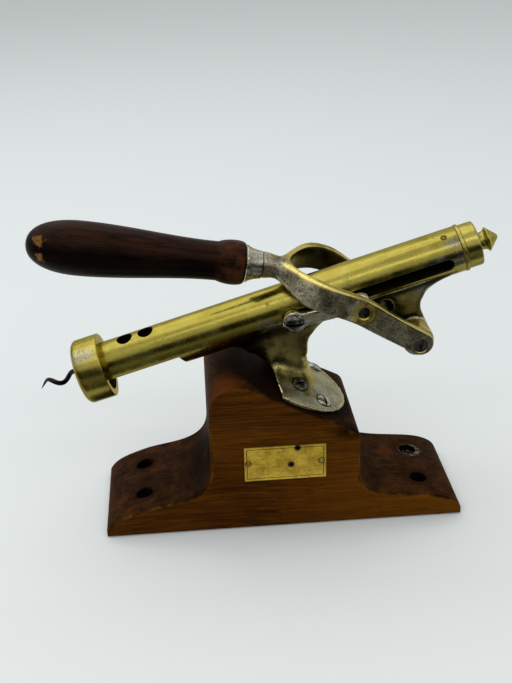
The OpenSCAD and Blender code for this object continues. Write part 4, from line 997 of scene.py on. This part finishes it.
# Lever
def make_fork():
    fork = remeshed("fork", "lever_fork", FORK_VOXEL)
    mesh = fork.data
    pairs = gather(mesh.edges, "vertices", 2, np.int64)
    co = relaxed(gather(mesh.vertices, "co"), pairs, 10)
    u = local(co, ON_LEVER)[:, 0]
    co = relaxed(co, pairs, 90, ramp01(u, 76, 92) * (1 - ramp01(u, 101, HILT_U - 1)))
    co = relaxed(co, pairs, 4)
    reshape(mesh, co)
    lever = local(co, ON_LEVER)
    u, v = lever[:, 0], lever[:, 2]
    paint(mesh, "relief", relief(mesh, co, pairs, 40, 0.5) * (1 - ramp01(u, 97, 102)))
    facing = normals(mesh)[:, 1] * np.sign(co[:, 1])
    plating = 0.25 + 0.5 * ramp01(facing, -0.2, 0.6) - 0.2 * ramp01(v, 8, 14) + 0.5 * ramp01(u, 92, 100)
    paint(mesh, "plating", plating - 0.45 * (1 - ramp01(reach(lever, (PIN_U, PIN_V)), 8, 12)))
    # Painted shade on the arms' inner faces
    paint(mesh, "painted_shade", 0.75 * (ramp01(-facing, 0.2, 0.7) * (1 - ramp01(u, 88, 98))))
    smooth(fork, 60)
    piece(fork, "lever", "nickel", FORK, "lever_fork")
    face, out, bore = FORK_HALF - 1.2, FORK_HALF + RING_T, LINK_PIN_R + SEAT_GAP
    profile = soft([(face, bore, 0), (face, RING_R + 0.3, 0), (out, RING_R - 0.2, 0.7),
                    (out, LINK_PIN_R + 0.9, 0.8), (out - 1.0, bore, 0.3)], closed=True)
    for side, name in SIDES:
        place = ON_LEVER @ move(PIN_U, 0, PIN_V) @ turn(90 * side, "Z")
        ring = lathe(f"arm_ring_{name}", tidy(profile), place, 72, closed=True)
        piece(ring, "lever", "brass", RING, "lever_fork")


def make_handle():
    start, end = FERRULE_LEN, FERRULE_LEN + HANDLE_LEN
    sleeve = [(0, 0), (0, NECK_R - 0.7)]
    sleeve += bez((0.35, NECK_R - 0.15), (start * 0.45, NECK_R + 0.4), (start * 0.7, FERRULE_R - 1.5),
                  (start - 1.4, FERRULE_R - 0.3))
    sleeve += soft([(start - 1.2, FERRULE_R, 0.3), (start - 0.2, FERRULE_R, 0.3), (start, 0, 0)])
    piece(lathe("ferrule_sleeve", tidy(sleeve), ON_HANDLE, 96), "lever", "nickel", FERRULE, "ferrule")
    bead, swell = start + BEAD_LEN, start + HANDLE_LEN * 0.755
    profile = [(start, 0), (start, FERRULE_R - 0.6)]
    profile += bez((start + 0.3, FERRULE_R), (start + 0.5, BEAD_R + 0.5), (start + 11.5, BEAD_R + 0.9),
                   (bead, GRIP_R), 24)
    profile += bez((bead, GRIP_R), (start + HANDLE_LEN * 0.33, GRIP_R - 0.2),
                   (start + HANDLE_LEN * 0.54, SWELL_R), (swell, SWELL_R), 32)
    profile += bez((swell, SWELL_R), (start + HANDLE_LEN * 0.91, SWELL_R), (end, SWELL_R * 0.63),
                   (end, 0), 28)
    grip = lathe("turned_handle", tidy(profile), ON_HANDLE)
    # The dark handle stays out of the brass's gloss
    grip.visible_glossy = False
    piece(grip, "lever", "dark_wood", HANDLE, "handle")


def make_links():
    mid = LINK_HALF + LINK_FILLET_R
    fillet_u = math.sqrt((LINK_EYE_R + LINK_FILLET_R) ** 2 - mid ** 2)
    lean = math.degrees(math.atan2(mid, fillet_u))
    outline = arc((0, 0), LINK_EYE_R, lean, 360 - lean, 40)
    outline += arc((fillet_u, -mid), LINK_FILLET_R, 180 - lean, 90, 8)
    outline += arc((LINK_LEN - fillet_u, -mid), LINK_FILLET_R, 90, lean, 8)
    outline += arc((LINK_LEN, 0), LINK_EYE_R, lean - 180, 180 - lean, 40)
    outline += arc((LINK_LEN - fillet_u, mid), LINK_FILLET_R, -lean, -90, 8)
    outline += arc((fillet_u, mid), LINK_FILLET_R, -90, lean - 180, 8)
    for side, name in SIDES:
        levels = rounded_levels(*sorted((-side * LINK_IN, -side * LINK_OUT)), 1.4)
        link = stack(f"{name}_link_bar", tidy(outline), levels, ON_LINK @ turn(90, "X"))
        cut(link, *[rod_cutter(r + RUN_GAP, -30, 30, ON_LINK @ move(u, 0, 0) @ turn(90, "X"))
                    for u, r in ((0, LINK_SCREW_R), (LINK_LEN, LINK_PIN_R))])
        piece(link, "links", "nickel", LINK, f"{name}_link")


# Worm: a wire on a helix that runs in to its shank, with a ground point
def make_worm():
    rings, sides, shank = 30, 16, (2.0, 4.0, 8.0)
    count = int(WORM_TURNS * rings)
    places = np.linspace(0, WORM_TURNS, count + 1)

    def angle(t):
        return math.radians(WORM_START) + 2 * math.pi * t

    def point(t):
        radius = HELIX_R * min(1.0, (WORM_TURNS - t) / 0.7)
        return np.array((WORM_TIP + WORM_LEAD * t, radius * math.cos(angle(t)), radius * math.sin(angle(t))))

    centres = [point(t) for t in places]
    centres += [np.array((centres[-1][0] + step, 0.0, 0.0)) for step in shank]
    thick = [WIRE_R * min(1.0, 0.06 + 0.94 * (t / 0.55) ** 0.8) for t in places] + [WIRE_R] * len(shank)
    verts = []
    for i, centre in enumerate(centres):
        ahead = centres[min(i + 1, len(centres) - 1)] - centres[max(i - 1, 0)]
        ahead = ahead / np.linalg.norm(ahead)
        w = angle(places[min(i, count)])
        across = np.cross(ahead, (0, math.cos(w), math.sin(w)))
        across /= np.linalg.norm(across)
        out = np.cross(across, ahead)
        for k in range(sides):
            v = 2 * math.pi * k / sides
            verts.append(tuple(centre + thick[i] * (out * math.cos(v) + across * math.sin(v))))
    worm = mesh_object("worm_wire", verts, skin(len(centres), sides), ON_AXIS)
    piece(worm, "worm", "dark_steel", WORM_STEEL, "worm")


def make_fulcrum():
    end = FORK_HALF - 0.4
    profile = soft([(-end, 0, 0), (-end, FULCRUM_R, 0.5), (end, FULCRUM_R, 0.5), (end, 0, 0)])
    place = ON_AXIS @ move(FULCRUM_S, 0, FULCRUM_N)
    pin = lathe("fulcrum_pivot", profile, place @ turn(90, "Z"), 64)
    low = (-SQUARE_HALF, -SQUARE_HALF, end - SQUARE_DEPTH)
    high = (SQUARE_HALF, SQUARE_HALF, end + 1)
    cut(pin, *[box_cutter(low, high, place @ turn(90 * side, "X") @ turn(SQUARE_TURN, "Z"))
               for side in (-1, 1)], rim=0.12)
    piece(pin, "frame", "dark_steel", STEEL, "fulcrum_pin")


def dress_cad(material, *names):
    """Gives carried-over CAD nodes their finish."""
    for name in names:
        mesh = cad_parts[name].data
        mesh.materials.clear()
        mesh.materials.append(material)


make_barrel()
make_bracket()
make_bell()
make_cap()
make_finial()
make_plinth()
make_plate()
make_screws()
make_fork()
make_handle()
make_links()
make_worm()
make_fulcrum()
dress_cad(CAP_PIN_BRASS, "cap_pin")
dress_cad(NUT_PIN_BRASS, "nut_pin")
dress_cad(STEEL, "link_pins", "worm_spindle", "worm_screw", "spindle_nut")
# Inner parts take the darker inner brass: tarnish and painted shade
dress_cad(INNER, "quick_nut", "stripper_ring", "crosshead", "thrust_washer", "slot_bushes")


# Stage, light and camera
def card(name, corners, faces):
    mesh = bpy.data.meshes.new(name)
    mesh.from_pydata(corners, [], faces)
    return add(name, mesh)


def make_floor():
    """A pale floor with painted light: lighter in front, darker far behind, and far off it glows in the
    room's horizon grey.
    """
    half = 5.0
    corners = [(-half, -half, 0), (half, -half, 0), (half, half, 0), (-half, half, 0)]
    floor = card("floor", corners, [(0, 1, 2, 3)])
    floor.location.z = -0.0002
    s = Shader("pale_floor")
    y = s.axes(s.place)["Y"]
    # Painted light: lighter in front, darker far behind
    colour = s.mix(s.span(y, 0.2, 2.6), (0.76, 0.785, 0.785, 1), (0.62, 0.645, 0.64, 1))
    colour = s.mix(s.span(y, 0.3, -0.3), colour, (0.81, 0.83, 0.825, 1))
    here = s.near((0, 0, 0), 4400, 0.68)
    s.colour = s.mix(here, (0, 0, 0, 1), colour)
    grain = s.noise(s.stretch(), 900, 2, 0.5)
    floor.data.materials.append(s.finish(
        Roughness=0.7, Specular_IOR_Level=s.times(here, 0.25), Emission_Color=HORIZON,
        Emission_Strength=s.rest(here), Normal=s.bump(grain, 0.02)))


def make_world():
    """Soft white room, a little darker towards the horizon."""
    scene.world = bpy.data.worlds.new("room")
    scene.world.use_nodes = True
    room = Nodes(scene.world.node_tree)
    height = room.axes(room.node("TexCoord").outputs["Generated"])["Z"]
    colour = room.mix(room.span(height, 0.0, 0.6), HORIZON, (0.74, 0.76, 0.76, 1))
    room.feed(room.tree.nodes["Background"].inputs["Color"], colour)


def make_flag():
    """A dark upright card for the dark side of the room, and a dark sheet on the floor in front, that only
    gloss sees: a painted dark reflection of the floor.
    """
    half, back, front, top, low = 1.6, -0.1, -0.56, 0.36, 0.001
    flag = card("dark_card", [(-half, back, low), (half, back, low), (half, front, low), (-half, front, low),
                              (half, front, top), (-half, front, top)], [(0, 1, 2, 3), (3, 2, 4, 5)])
    flag.visible_camera = False
    flag.visible_diffuse = False
    flag.visible_shadow = False
    s = Shader("dark_card")
    y, z = s.axes(s.place)[1:]
    weave = s.noise(s.stretch(), 30, 2, 0.5)
    upright = s.mix(weave, (0.008, 0.008, 0.007, 1), (0.014, 0.014, 0.012, 1))
    # The sheet on the floor: a painted dark reflection
    floor_sheet = s.mix(s.span(y, -0.1, -0.5), (0.07, 0.07, 0.065, 1), (0.27, 0.27, 0.25, 1))
    s.colour = s.mix(s.span(z, 0.02, 0.06), floor_sheet, upright)
    flag.data.materials.append(s.finish(Roughness=0.9, Specular_IOR_Level=0.0))


def make_lamp(name, place, target, width, depth, power):
    lamp = bpy.data.lights.new(name, "AREA")
    lamp.shape = "RECTANGLE"
    lamp.size = width
    lamp.size_y = depth
    lamp.energy = power
    obj = add(name, lamp)
    obj.location = place
    obj.rotation_euler = (Vector(target) - Vector(place)).to_track_quat("-Z", "Y").to_euler()


def make_camera():
    yaw, pitch, roll = (math.radians(angle) for angle in (CAMERA_YAW, CAMERA_PITCH, CAMERA_ROLL))
    right = Vector((math.cos(yaw), math.sin(yaw), 0))
    ahead = Vector((-math.sin(yaw) * math.cos(pitch), math.cos(yaw) * math.cos(pitch), -math.sin(pitch)))
    up = right.cross(ahead)
    right, up = math.cos(roll) * right - math.sin(roll) * up, math.sin(roll) * right + math.cos(roll) * up
    data = bpy.data.cameras.new("camera")
    data.lens = CAMERA_LENS
    data.sensor_width = 36
    scene.camera = add("camera", data)
    basis = Matrix((right, up, -ahead)).transposed().to_4x4()
    scene.camera.matrix_world = Matrix.Translation(CAMERA_PLACE) @ basis


make_floor()
make_world()
make_flag()
make_lamp("key", (-0.5, 0.5, 1.5), (0, 0, 0.1), 1.8, 1.6, 9)
make_lamp("strip", (-0.1, -0.95, 1.4), (0, 0, 0.12), 2.0, 0.22, 2.6)
make_camera()
scene.view_settings.view_transform = "Standard"
